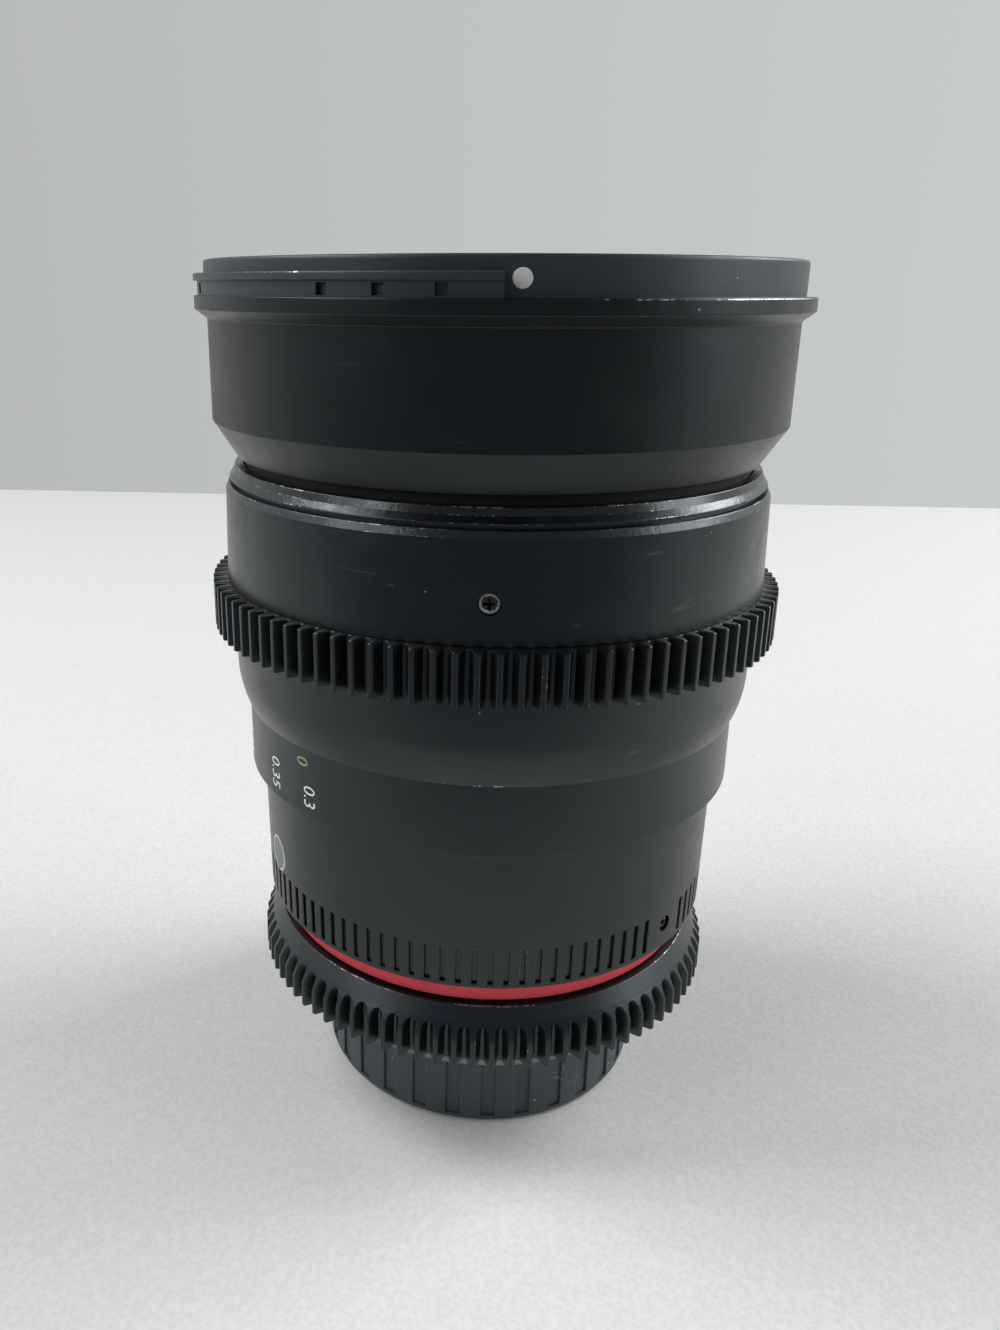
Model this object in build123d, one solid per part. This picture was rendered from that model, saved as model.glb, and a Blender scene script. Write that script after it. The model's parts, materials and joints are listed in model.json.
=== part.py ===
from build123d import *
import os
from math import asin, atan2, cos, degrees, pi, radians, sin, sqrt, tan

# Cinema prime lens standing on its rear cap. Millimetres, +Z up along the optical axis,
# origin at the middle of the cap's underside. Azimuths run from -Y towards +X.

# Fits between pieces
RUNNING_GAP = 0.2
LINK_GAP = 0.4
FLOOR_GAP = 0.3
OVERRUN = 1.0

# Focus ring, which sets the radius of the whole lens
FOCUS_RADIUS = 38.4
FOCUS_WALL = 2.6
FOCUS_HEIGHT = 32.2
FOCUS_SHOULDER_RISE = 0.3
FOCUS_REAR_DROP = 0.4
FOCUS_SKIRT_DROP = 0.6
FOCUS_ROUND_DROP = 1.4
FOCUS_ROUND_HEIGHT = 6.2
FOCUS_ROUND_COUNT = 4
FOCUS_BEVEL = 0.9
FOCUS_BEVEL_DEPTH = 0.4
FOCUS_TO_CLOSEST = 50.0
FOCUS_TO_INFINITY = 112.0
FOCUS_SCREW_COUNT = 3
FOCUS_SCREW_RADIUS = 1.3
FOCUS_SCREW_SINK = 0.15
FOCUS_SCREW_LIFT = 23.8

# Gears with the common follow-focus module
GEAR_MODULE = 0.8
GEAR_DEDENDUM_SHARE = 1.25
GEAR_PRESSURE_ANGLE = 20.0
FOCUS_GEAR_SEAT = 0.6
FOCUS_GEAR_RISE = 2.6
FOCUS_GEAR_WIDTH = 7.0
FOCUS_GEAR_LIFT = 11.7
FOCUS_GEAR_AZIMUTH = 2.0
IRIS_GEAR_RISE = 3.6
IRIS_GEAR_WIDTH = 6.3
IRIS_GEAR_AZIMUTH = -0.7

# Trim ring on the focus ring's front edge
TRIM_NECK_DROP = 1.2
TRIM_NECK_HEIGHT = 0.65
TRIM_DROP = 0.5
TRIM_BEVEL = 0.9
TRIM_BEVEL_DEPTH = 0.6
TRIM_LIP_DEPTH = 0.9
TRIM_HEIGHT = 2.5

# Distance scale ring
SCALE_RING_DROP = 2.2
SCALE_RING_HEIGHT = 9.9

# Fixed tube, turning helicoid and the keys between them
TUBE_WALL = 1.6
TUBE_SHELF = 1.5
REAR_TUBE_WALL = 1.1
TUBE_SEAT = 4.0
HELICOID_WALL = 2.1
HELICOID_LENGTH = 16.0
HELICOID_LIFT = 4.8
DRIVE_KEY_AZIMUTH = 150.0
DRIVE_KEY_WIDTH = 5.0
DRIVE_KEY_HEIGHT = 4.0
DRIVE_KEY_SEAT = 1.0
DRIVE_KEY_LIFT = 8.0
GUIDE_KEY_AZIMUTH = 180.0
GUIDE_KEY_WIDTH = 3.0
GUIDE_KEY_REACH = 1.0
GUIDE_KEY_LENGTH = 12.0

# Front barrel with its hood bayonet and filter thread
FRONT_GAP = 1.2
CONE_LIP = 1.0
CONE_HEIGHT = 5.0
BARREL_RISE = 4.2
BARREL_HEIGHT = 13.1
BARREL_WALL = 3.0
BARREL_BEVEL = 1.2
BARREL_SHOULDER = 2.0
BARREL_SHOULDER_WALL = 1.1
FILTER_THREAD_RELIEF = 1.3
FILTER_THREAD_LENGTH = 5.2
RIM_WALL = 1.9
RIM_HEIGHT = 4.4
HOOD_FLANGE_RISE = 1.4
HOOD_FLANGE_HEIGHT = 1.7
HOOD_LIP_COUNT = 2
HOOD_LIP_SPREAD = 90.0
HOOD_LIP_AZIMUTH = -44.2
HOOD_LIP_HEIGHT = 0.9
HOOD_GROOVE = 1.8
HOOD_WEB_RISE = 0.9
HOOD_POCKET_AZIMUTHS = (-63.6, -26.8, -17.9, -7.5)
HOOD_POCKET_WIDTH = 1.4
HOOD_POCKET_HEIGHT = 1.3

# Rear barrel and its red ring
REAR_BARREL_RISE = 1.2
REAR_BARREL_TAPER = 0.4
REAR_BARREL_HEIGHT = 20.8
REAR_FLOOR = 2.0
RIB_PITCH_COUNT = 100
RIB_SLOT_WIDTH = 0.8
RIB_SLOT_DEPTH = 0.7
RIB_SLOT_HEIGHT = 5.1
RIB_SLOT_LIFT = 0.9
PLAIN_AZIMUTH = 49.5
PLAIN_PITCH_COUNT = 3
SET_SCREW_RADIUS = 0.9
SET_SCREW_WELL_RADIUS = 1.2
SET_SCREW_SINK = 0.3
SET_SCREW_LIFT = 3.8
RED_RING_GAP = 0.9
RED_RING_HEIGHT = 2.9
RED_RING_DROP = 1.5

# Iris ring on the neck
NECK_STEP = 0.9
NECK_WALL = 2.8
IRIS_GEAR_WALL = 1.6
IRIS_COLLAR_RISE = 3.2
IRIS_COLLAR_TAPER = 1.4
IRIS_COLLAR_HEIGHT = 2.0

# Rear bayonet
FLANGE_STEP = 1.0
FLANGE_THICKNESS = 3.3
SPIGOT_WALL = 2.0
SPIGOT_LENGTH = 5.4
LUG_COUNT = 3
LUG_REACH = 1.4
LUG_THICKNESS = 1.5
LUG_SPREAD = 50.0
BAFFLE_WIDTH = 2.4
BAFFLE_THICKNESS = 1.0
MOUNT_SCREW_COUNT = 5
MOUNT_SCREW_HEAD_RADIUS = 1.3
MOUNT_SCREW_HEAD_DEPTH = 1.2
MOUNT_SCREW_RADIUS = 0.7
MOUNT_SCREW_LENGTH = 7.0

# Rear cap
CAP_STEP = 4.0
CAP_HEIGHT = 14.3
CAP_WALL = 1.6
CAP_FLOOR = 1.8
CAP_CHAMFER = 0.6
CAP_GROOVE_COUNT = 30
CAP_GROOVE_WIDTH = 2.2
CAP_GROOVE_DEPTH = 0.8
CAP_GROOVE_AZIMUTH = 4.5
CAP_LIP = 2.4
CAP_LUG_SPREAD = 44.0
CAP_LUG_THICKNESS = 1.5
CAP_LUG_SEAT = 0.4

# Lens elements: step in from the cell, edge thickness and sag of the surfaces
GLASS_ZONE_COUNT = 2
FRONT_ELEMENT_STEP = 5.8
FRONT_ELEMENT_EDGE = 3.5
FRONT_ELEMENT_SAG = 5.0
FRONT_ELEMENT_HOLLOW = 5.5
SECOND_ELEMENT_STEP = 6.0
SECOND_ELEMENT_EDGE = 3.5
SECOND_ELEMENT_SAG = 2.5
THIRD_ELEMENT_STEP = 5.9
THIRD_ELEMENT_EDGE = 3.0
THIRD_ELEMENT_SAG = 3.0
FOURTH_ELEMENT_STEP = 10.9
FOURTH_ELEMENT_EDGE = 2.5
FOURTH_ELEMENT_SAG = 1.8
FIFTH_ELEMENT_STEP = 11.9
FIFTH_ELEMENT_EDGE = 3.5
FIFTH_ELEMENT_SAG = 1.5
REAR_ELEMENT_EDGE = 3.0
REAR_ELEMENT_SAG = 1.6

# Cells and the carriage that hold the elements
FRONT_CELL_SEAT = 1.5
FRONT_CELL_SKIRT = 9.1
TRIM_CONE_WALL = 1.0
TRIM_CONE_STEP = 1.5
CELL_FLOOR = 4.0
CARRIAGE_WALL = 2.0
CARRIAGE_FRONT_GAP = 4.1
CARRIAGE_THREAD_LIFT = 1.6
CARRIAGE_STOP_GAP = 0.5
FOCUS_TRAVEL = 6.0
REAR_CELL_STOP_GAP = 0.6
REAR_CELL_WALL = 2.0

# Iris mechanism
BLADE_COUNT = 8
BLADE_THICKNESS = 0.25
BLADE_PITCH = 0.35
BLADE_SPREAD = 118.0
BLADE_BAND = 6.9
BLADE_SETBACK = 0.3
BLADE_PIN_RADIUS = 0.6
BLADE_PIN_GAP = 0.1
BLADE_PIN_CLEARANCE = 1.0
BLADE_BOSS_RADIUS = 1.3
PIVOT_INSET = 6.1
BLADE_ARM_SHARE = 1.15
CLOSED_OPENING = 0.9
BASE_PLATE_THICKNESS = 1.2
BASE_PLATE_LIFT = 11.7
DRIVE_RING_THICKNESS = 1.0
DRIVE_SLOT_GAP = 0.2
COVER_PLATE_THICKNESS = 1.0
PLATE_GAP = 0.1
LINK_THICKNESS = 1.1
LINK_WIDTH = 2.2
LINK_TAB_WIDTH = 6.0
LINK_OVERLAP = 2.0

# Heights, from the floor up
flange_z = CAP_HEIGHT + FLOOR_GAP
spigot_z = flange_z - SPIGOT_LENGTH
neck_z = flange_z + FLANGE_THICKNESS
iris_z = neck_z + FLOOR_GAP
iris_collar_z = iris_z + IRIS_GEAR_WIDTH
iris_top_z = iris_collar_z + IRIS_COLLAR_HEIGHT
red_ring_z = iris_top_z + RED_RING_GAP
rear_barrel_z = red_ring_z + RED_RING_HEIGHT
rear_floor_z = rear_barrel_z + REAR_FLOOR
rear_barrel_top_z = rear_barrel_z + REAR_BARREL_HEIGHT
scale_z = rear_barrel_top_z + RUNNING_GAP
focus_z = scale_z + SCALE_RING_HEIGHT
focus_top_z = focus_z + FOCUS_HEIGHT
focus_gear_z = focus_z + FOCUS_GEAR_LIFT
focus_shoulder_z = focus_gear_z + FOCUS_GEAR_WIDTH
trim_top_z = focus_top_z + TRIM_HEIGHT
cone_z = trim_top_z + FRONT_GAP
tube_top_z = cone_z + TUBE_SEAT
front_cell_z = tube_top_z + BARREL_SHOULDER
front_seat_z = front_cell_z + FRONT_CELL_SEAT
skirt_z = front_cell_z - FRONT_CELL_SKIRT
barrel_z = cone_z + CONE_HEIGHT
barrel_top_z = barrel_z + BARREL_HEIGHT
hood_flange_z = barrel_top_z + BARREL_BEVEL
rim_z = hood_flange_z + HOOD_FLANGE_HEIGHT
front_z = rim_z + RIM_HEIGHT
thread_z = front_z - FILTER_THREAD_LENGTH

# Radii of the nested tubes, from the focus ring inwards
focus_bore = FOCUS_RADIUS - FOCUS_WALL
tube_radius = focus_bore - RUNNING_GAP
tube_bore = tube_radius - TUBE_WALL
helicoid_radius = tube_bore - RUNNING_GAP
helicoid_bore = helicoid_radius - HELICOID_WALL
carriage_thread_radius = helicoid_bore - RUNNING_GAP
rear_tube_radius = helicoid_bore + REAR_TUBE_WALL
link_outer = helicoid_bore - RUNNING_GAP - PLATE_GAP
link_inner = link_outer - LINK_THICKNESS
carriage_radius = link_inner - LINK_GAP
carriage_bore = carriage_radius - CARRIAGE_WALL
neck_radius = carriage_radius - NECK_STEP
neck_bore = neck_radius - NECK_WALL
flange_radius = neck_radius + FLANGE_STEP
cap_radius = neck_radius - CAP_STEP
cap_bore = cap_radius - CAP_WALL
lug_radius = cap_bore - LINK_GAP
spigot_radius = lug_radius - LUG_REACH
spigot_bore = spigot_radius - SPIGOT_WALL
rear_cell_radius = spigot_bore - BAFFLE_WIDTH - RUNNING_GAP
rear_element_radius = rear_cell_radius - REAR_CELL_WALL

# Radii of the outer pieces, from the focus ring and the tubes outwards
focus_shoulder_radius = FOCUS_RADIUS + FOCUS_SHOULDER_RISE
focus_rear_radius = FOCUS_RADIUS - FOCUS_REAR_DROP
gear_seat_radius = focus_rear_radius - FOCUS_GEAR_SEAT
focus_skirt_radius = FOCUS_RADIUS - FOCUS_SKIRT_DROP
focus_edge_radius = focus_skirt_radius - FOCUS_ROUND_DROP
trim_neck_radius = FOCUS_RADIUS - TRIM_NECK_DROP
trim_radius = FOCUS_RADIUS - TRIM_DROP
scale_ring_radius = FOCUS_RADIUS - SCALE_RING_DROP
cone_radius = tube_radius + CONE_LIP
barrel_radius = tube_radius + BARREL_RISE
barrel_bore = barrel_radius - BARREL_WALL
filter_thread_radius = barrel_bore + FILTER_THREAD_RELIEF
rim_radius = filter_thread_radius + RIM_WALL
hood_flange_radius = rim_radius + HOOD_FLANGE_RISE
hood_web_radius = rim_radius + HOOD_WEB_RISE
rear_barrel_radius = rear_tube_radius + REAR_BARREL_RISE
red_ring_radius = rear_barrel_radius - RED_RING_DROP
iris_bore = neck_radius + RUNNING_GAP
iris_seat_radius = iris_bore + IRIS_GEAR_WALL
iris_collar_radius = iris_seat_radius + IRIS_COLLAR_RISE
front_element_radius = barrel_bore - FRONT_ELEMENT_STEP
second_element_radius = front_element_radius - SECOND_ELEMENT_STEP
third_element_radius = carriage_bore - THIRD_ELEMENT_STEP
fourth_element_radius = carriage_bore - FOURTH_ELEMENT_STEP
fifth_element_radius = carriage_bore - FIFTH_ELEMENT_STEP

# Focus travel: the ring turns towards infinity as the carriage moves back
travel_per_degree = FOCUS_TRAVEL / (FOCUS_TO_CLOSEST + FOCUS_TO_INFINITY)
travel_back = travel_per_degree * FOCUS_TO_INFINITY
travel_forward = travel_per_degree * FOCUS_TO_CLOSEST
shelf_z = focus_z + RUNNING_GAP
helicoid_z = shelf_z + HELICOID_LIFT
drive_key_z = helicoid_z + DRIVE_KEY_LIFT
carriage_z = rear_floor_z + travel_back + CARRIAGE_STOP_GAP
carriage_thread_z = shelf_z + CARRIAGE_THREAD_LIFT
carriage_top_z = skirt_z - travel_forward - CARRIAGE_FRONT_GAP
rear_cell_z = spigot_z + travel_back + CARRIAGE_STOP_GAP
rear_cell_step_z = neck_z + travel_back + REAR_CELL_STOP_GAP

# Iris layers, each blade in a plane of its own
base_plate_z = carriage_z + BASE_PLATE_LIFT
blades_z = base_plate_z + BASE_PLATE_THICKNESS + PLATE_GAP
drive_ring_z = blades_z + BLADE_COUNT * BLADE_PITCH + PLATE_GAP
cover_plate_z = drive_ring_z + DRIVE_RING_THICKNESS + PLATE_GAP
front_lens_cell_z = cover_plate_z + COVER_PLATE_THICKNESS
drive_ring_radius = carriage_bore - RUNNING_GAP
pivot_circle = carriage_bore - PIVOT_INSET
blade_outer = pivot_circle - BLADE_PIN_CLEARANCE - BLADE_PIN_RADIUS
blade_inner = blade_outer - BLADE_BAND
aperture_radius = blade_inner - BLADE_SETBACK
blade_arm = PIVOT_INSET * BLADE_ARM_SHARE
blade_swing = 2 * degrees(asin((blade_inner - CLOSED_OPENING) / 2 / pivot_circle))
iris_throw = 2 * blade_swing
pin_hole_radius = BLADE_PIN_RADIUS + BLADE_PIN_GAP


def turned(outline):
    """A solid turned about the optical axis from (radius, height) points."""
    points = [(radius, 0, height) for radius, height in outline]
    return revolve(make_face(Polyline(*points, close=True)), Axis.Z)


def ring(inner, outer, bottom, top):
    """A plain ring about the optical axis."""
    return turned([(inner, bottom), (outer, bottom), (outer, top), (inner, top)])


def arc_block(inner, outer, bottom, top, azimuth, spread):
    """A part of a ring, spread degrees wide and centred on an azimuth."""
    outline = [(inner, 0, bottom), (outer, 0, bottom), (outer, 0, top), (inner, 0, top)]
    section = make_face(Polyline(*outline, close=True))
    block = revolve(section, Axis.Z, revolution_arc=spread)
    return Rot(0, 0, azimuth - spread / 2 - 90) * block


def place(azimuth, radius, height):
    """A location on the side of the lens with its X axis pointing outwards."""
    return Rot(0, 0, azimuth - 90) * Pos(radius, 0, height)


def around(count, shape, first=0.0):
    """Copies of a shape at equal angles about the optical axis."""
    return [Rot(0, 0, first + 360 / count * index) * shape for index in range(count)]


def radial_pin(radius, inner, outer, height, azimuth):
    """A round pin that lies along a radius of the lens."""
    pin = Cylinder(radius, outer - inner, rotation=(0, 90, 0))
    return place(azimuth, (inner + outer) / 2, height) * pin


def degrees_across(width, radius):
    """The angle that a width covers at a radius."""
    return degrees(2 * asin(width / 2 / radius))


def toothed_ring(bore, rise, width, bottom, azimuth):
    """A straight-cut gear ring of the common module, rise above its bore, turned to an azimuth."""
    teeth = round(2 * (bore + rise) / GEAR_MODULE)
    tip = GEAR_MODULE * (teeth + 2) / 2
    root = GEAR_MODULE * (teeth - 2 * GEAR_DEDENDUM_SHARE) / 2
    slope = tan(radians(GEAR_PRESSURE_ANGLE))
    tip_half = GEAR_MODULE * (pi / 4 - slope) / tip
    root_half = GEAR_MODULE * (pi / 4 + GEAR_DEDENDUM_SHARE * slope) / root
    points = []
    for tooth in range(teeth):
        middle = 2 * pi * tooth / teeth
        corners = [(root, -root_half), (tip, -tip_half), (tip, tip_half), (root, root_half)]
        points += [(r * cos(middle + turn), r * sin(middle + turn)) for r, turn in corners]
    section = make_face(Polyline(*points, close=True)) - Circle(bore)
    return Rot(0, 0, azimuth) * Pos(0, 0, bottom) * extrude(section, width)


def glass(radius, edge_z, edge, rear_sag, front_sag):
    """A lens element whose two surfaces follow spheres in conical zones."""

    def surface(height, sag):
        ball = (radius**2 + sag**2) / (2 * abs(sag))
        side = sag / abs(sag)
        shares = [zone / GLASS_ZONE_COUNT for zone in range(GLASS_ZONE_COUNT + 1)]
        drops = [ball - sqrt(ball**2 - (share * radius) ** 2) for share in shares]
        return [(share * radius, height + sag - side * drop) for share, drop in zip(shares, drops)]

    rear = surface(edge_z, rear_sag)
    front = surface(edge_z + edge, front_sag)
    return turned(rear + front[::-1])


def front_barrel():
    """The fixed front barrel with its cone, hood flange, hood lips and filter thread wall."""
    shoulder_bore = tube_bore - BARREL_SHOULDER_WALL
    outline = [
        (tube_radius, cone_z),
        (cone_radius, cone_z),
        (barrel_radius, barrel_z),
        (barrel_radius, barrel_top_z),
        (hood_flange_radius, hood_flange_z),
        (hood_flange_radius, rim_z),
        (rim_radius, rim_z),
        (rim_radius, front_z),
        (filter_thread_radius, front_z),
        (filter_thread_radius, thread_z),
        (barrel_bore, thread_z),
        (barrel_bore, front_cell_z),
        (shoulder_bore, front_cell_z),
        (shoulder_bore, tube_top_z),
        (tube_radius, tube_top_z),
    ]
    lip_z = rim_z + HOOD_GROOVE
    inner = (rim_radius + filter_thread_radius) / 2
    lip = arc_block(
        inner,
        hood_flange_radius,
        lip_z,
        lip_z + HOOD_LIP_HEIGHT,
        HOOD_LIP_AZIMUTH,
        HOOD_LIP_SPREAD,
    )
    web = arc_block(inner, hood_web_radius, rim_z, lip_z, HOOD_LIP_AZIMUTH, HOOD_LIP_SPREAD)
    pocket = Box(
        hood_flange_radius - rim_radius,
        HOOD_POCKET_WIDTH,
        HOOD_POCKET_HEIGHT,
        align=(Align.MIN, Align.CENTER, Align.CENTER),
    )
    pocket_z = rim_z + HOOD_GROOVE / 2
    pockets = [place(azimuth, rim_radius, pocket_z) * pocket for azimuth in HOOD_POCKET_AZIMUTHS]
    web -= pockets
    return turned(outline) + around(HOOD_LIP_COUNT, lip) + around(HOOD_LIP_COUNT, web)


def front_trim_ring():
    """The blank conical ring between the filter thread and the front element."""
    seat_z = front_seat_z + FRONT_ELEMENT_EDGE
    return turned([
        (front_element_radius, seat_z),
        (barrel_bore, seat_z),
        (barrel_bore, thread_z),
        (barrel_bore - TRIM_CONE_WALL, thread_z),
        (front_element_radius, seat_z + TRIM_CONE_STEP),
    ])


def front_cell():
    """The cell in the front barrel that holds the two fixed elements."""
    skirt_radius = tube_bore - BARREL_SHOULDER_WALL - RUNNING_GAP
    top = front_seat_z + FRONT_ELEMENT_EDGE
    return turned([
        (second_element_radius, skirt_z),
        (skirt_radius, skirt_z),
        (skirt_radius, front_cell_z),
        (barrel_bore, front_cell_z),
        (barrel_bore, top),
        (front_element_radius, top),
        (front_element_radius, front_seat_z),
        (second_element_radius, front_seat_z),
    ])


def front_element():
    """The large hollow-backed front element."""
    return glass(
        front_element_radius,
        front_seat_z,
        FRONT_ELEMENT_EDGE,
        FRONT_ELEMENT_HOLLOW,
        FRONT_ELEMENT_SAG,
    )


def second_element():
    """The fixed element behind the front one."""
    edge_z = skirt_z + FRONT_CELL_SEAT
    sag = SECOND_ELEMENT_SAG
    return glass(second_element_radius, edge_z, SECOND_ELEMENT_EDGE, sag / 2, sag)


def main_tube():
    """The stepped fixed tube that joins the rear barrel to the front barrel."""
    tube = turned([
        (helicoid_bore, rear_floor_z),
        (rear_tube_radius, rear_floor_z),
        (rear_tube_radius, shelf_z),
        (tube_radius, shelf_z),
        (tube_radius, tube_top_z),
        (tube_bore, tube_top_z),
        (tube_bore, shelf_z + TUBE_SHELF),
        (helicoid_bore, shelf_z + TUBE_SHELF),
    ])
    half_key = degrees_across(DRIVE_KEY_WIDTH, tube_bore) / 2 + OVERRUN
    spread = FOCUS_TO_CLOSEST + FOCUS_TO_INFINITY + 2 * half_key
    middle = DRIVE_KEY_AZIMUTH + (FOCUS_TO_INFINITY - FOCUS_TO_CLOSEST) / 2
    low = drive_key_z - RUNNING_GAP
    high = drive_key_z + DRIVE_KEY_HEIGHT + RUNNING_GAP
    window = arc_block(tube_bore - OVERRUN, tube_radius + OVERRUN, low, high, middle, spread)
    return tube - window


def guide_key():
    """The straight key in the fixed tube that keeps the carriage from turning."""
    top = carriage_thread_z - travel_back - CARRIAGE_STOP_GAP
    return arc_block(
        carriage_radius - GUIDE_KEY_REACH,
        helicoid_bore,
        top - GUIDE_KEY_LENGTH,
        top,
        GUIDE_KEY_AZIMUTH,
        degrees_across(GUIDE_KEY_WIDTH, carriage_radius),
    )


def rear_barrel():
    """The ribbed rear barrel with its floor and the slot for the iris link."""
    barrel = turned([
        (neck_bore, rear_barrel_z),
        (rear_barrel_radius, rear_barrel_z),
        (rear_barrel_radius + REAR_BARREL_TAPER, rear_barrel_top_z),
        (rear_tube_radius, rear_barrel_top_z),
        (rear_tube_radius, rear_floor_z),
        (neck_bore, rear_floor_z),
    ])
    slot_z = rear_barrel_z + RIB_SLOT_LIFT
    slot = Box(
        RIB_SLOT_DEPTH + OVERRUN,
        RIB_SLOT_WIDTH,
        RIB_SLOT_HEIGHT,
        align=(Align.MIN, Align.CENTER, Align.MIN),
    )
    pitch = 360 / RIB_PITCH_COUNT
    after_plain = (PLAIN_PITCH_COUNT + 1) / 2
    azimuths = [
        PLAIN_AZIMUTH + pitch * (after_plain + index)
        for index in range(RIB_PITCH_COUNT - PLAIN_PITCH_COUNT)
    ]
    slots = [
        place(azimuth, rear_barrel_radius - RIB_SLOT_DEPTH, slot_z) * slot for azimuth in azimuths
    ]
    well = radial_pin(
        SET_SCREW_WELL_RADIUS,
        rear_tube_radius,
        rear_barrel_radius + OVERRUN,
        rear_barrel_z + SET_SCREW_LIFT,
        PLAIN_AZIMUTH,
    )
    return barrel - slots - well - link_slot()


def rear_neck():
    """The neck that the iris ring turns on, with the threads for the mount screws."""
    neck = ring(neck_bore, neck_radius, neck_z, rear_barrel_z)
    return neck - screw_shanks(MOUNT_SCREW_RADIUS)


def link_slot():
    """The curved slot in the rear barrel's floor that the iris link travels in."""
    link_spread = degrees_across(LINK_WIDTH, link_inner)
    spread = iris_throw + link_spread + 2 * OVERRUN
    middle = iris_throw / 2
    low = rear_barrel_z - OVERRUN
    high = rear_floor_z + OVERRUN
    return arc_block(link_inner - RUNNING_GAP, helicoid_bore, low, high, middle, spread)


def red_ring():
    """The red accent ring under the rear barrel."""
    return ring(helicoid_bore, red_ring_radius, red_ring_z, rear_barrel_z)


def barrel_set_screw():
    """The small set screw sunk in the plain part of the ribs."""
    outer = rear_barrel_radius - SET_SCREW_SINK
    height = rear_barrel_z + SET_SCREW_LIFT
    return radial_pin(SET_SCREW_RADIUS, rear_tube_radius, outer, height, PLAIN_AZIMUTH)


def screw_circle(radius, bottom, top):
    """Round posts on the pitch circle of the mount screws."""
    post = Cylinder(radius, top - bottom, align=(Align.CENTER, Align.CENTER, Align.MIN))
    pitch_radius = (neck_bore + neck_radius) / 2
    return around(MOUNT_SCREW_COUNT, Pos(pitch_radius, 0, bottom) * post)


def screw_shanks(radius):
    """The shanks of the mount screws."""
    return screw_circle(radius, flange_z, flange_z + MOUNT_SCREW_LENGTH)


def screw_heads(radius):
    """The heads of the mount screws, sunk in the flange's rear face."""
    return screw_circle(radius, flange_z, flange_z + MOUNT_SCREW_HEAD_DEPTH)


def mount_screws():
    """The screws that hold the mount ring to the neck."""
    pairs = zip(screw_shanks(MOUNT_SCREW_RADIUS), screw_heads(MOUNT_SCREW_HEAD_RADIUS))
    return [shank + head for shank, head in pairs]


def mount_ring():
    """The rear bayonet: flange, spigot and three lugs."""
    flange = turned([
        (spigot_bore, spigot_z),
        (spigot_radius, spigot_z),
        (spigot_radius, flange_z),
        (flange_radius, flange_z),
        (flange_radius, neck_z),
        (spigot_bore, neck_z),
    ])
    inner = spigot_radius - SPIGOT_WALL / 2
    lug = arc_block(inner, lug_radius, spigot_z, spigot_z + LUG_THICKNESS, 0, LUG_SPREAD)
    mount = flange + around(LUG_COUNT, lug)
    return mount - screw_shanks(MOUNT_SCREW_RADIUS) - screw_heads(MOUNT_SCREW_HEAD_RADIUS)


def rear_baffle():
    """The dark ring in the spigot that hides the gap round the rear cell."""
    low = flange_z - SPIGOT_LENGTH / 2
    return ring(spigot_bore - BAFFLE_WIDTH, spigot_bore, low, low + BAFFLE_THICKNESS)


def focus_ring():
    """The turning focus ring with its rounded rear edge and gear seat."""
    inset = focus_skirt_radius - focus_edge_radius
    round_radius = (FOCUS_ROUND_HEIGHT**2 + inset**2) / (2 * inset)
    full_turn = asin(FOCUS_ROUND_HEIGHT / round_radius)
    round_z = focus_z + FOCUS_ROUND_HEIGHT
    outline = [(focus_bore, focus_z)]
    for step in range(FOCUS_ROUND_COUNT + 1):
        turn = full_turn * (1 - step / FOCUS_ROUND_COUNT)
        drop = round_radius * (1 - cos(turn))
        outline.append((focus_skirt_radius - drop, round_z - round_radius * sin(turn)))
    outline += [
        (focus_rear_radius, focus_gear_z),
        (gear_seat_radius, focus_gear_z),
        (gear_seat_radius, focus_shoulder_z),
        (focus_shoulder_radius, focus_shoulder_z),
        (FOCUS_RADIUS, focus_top_z - FOCUS_BEVEL),
        (FOCUS_RADIUS - FOCUS_BEVEL_DEPTH, focus_top_z),
        (focus_bore, focus_top_z),
    ]
    body = turned(outline)
    return body - focus_screw_set(focus_bore - OVERRUN, focus_shoulder_radius + OVERRUN) - drive_key()


def focus_screw_set(inner, outer):
    """Round posts where the focus ring's screws go."""
    pin = radial_pin(FOCUS_SCREW_RADIUS, inner, outer, focus_z + FOCUS_SCREW_LIFT, 0)
    return around(FOCUS_SCREW_COUNT, pin)


def focus_screws():
    """The cross-head screws in the focus ring."""
    return focus_screw_set(focus_bore, FOCUS_RADIUS - FOCUS_SCREW_SINK)


def focus_trim_ring():
    """The bevelled ring on the front edge of the focus ring."""
    shoulder_z = focus_top_z + TRIM_NECK_HEIGHT
    bevel_z = shoulder_z + TRIM_BEVEL
    lip = trim_radius - TRIM_LIP_DEPTH
    return turned([
        (focus_bore, focus_top_z),
        (trim_neck_radius, focus_top_z),
        (trim_neck_radius, shoulder_z),
        (trim_radius, shoulder_z),
        (trim_radius - TRIM_BEVEL_DEPTH, bevel_z),
        (lip, trim_top_z),
        (focus_bore, trim_top_z),
    ])


def focus_gear():
    """The follow-focus gear on the focus ring."""
    return toothed_ring(
        gear_seat_radius, FOCUS_GEAR_RISE, FOCUS_GEAR_WIDTH, focus_gear_z, FOCUS_GEAR_AZIMUTH
    )


def scale_ring():
    """The distance scale ring below the focus ring."""
    return ring(rear_tube_radius + RUNNING_GAP, scale_ring_radius, scale_z, focus_z)


def drive_key():
    """The key that carries the focus ring's turn through the fixed tube."""
    return arc_block(
        helicoid_radius - DRIVE_KEY_SEAT,
        focus_bore + DRIVE_KEY_SEAT,
        drive_key_z,
        drive_key_z + DRIVE_KEY_HEIGHT,
        DRIVE_KEY_AZIMUTH,
        degrees_across(DRIVE_KEY_WIDTH, tube_bore),
    )


def helicoid_ring():
    """The turning inner ring whose thread moves the carriage."""
    body = ring(helicoid_bore, helicoid_radius, helicoid_z, helicoid_z + HELICOID_LENGTH)
    return body - drive_key()


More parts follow.
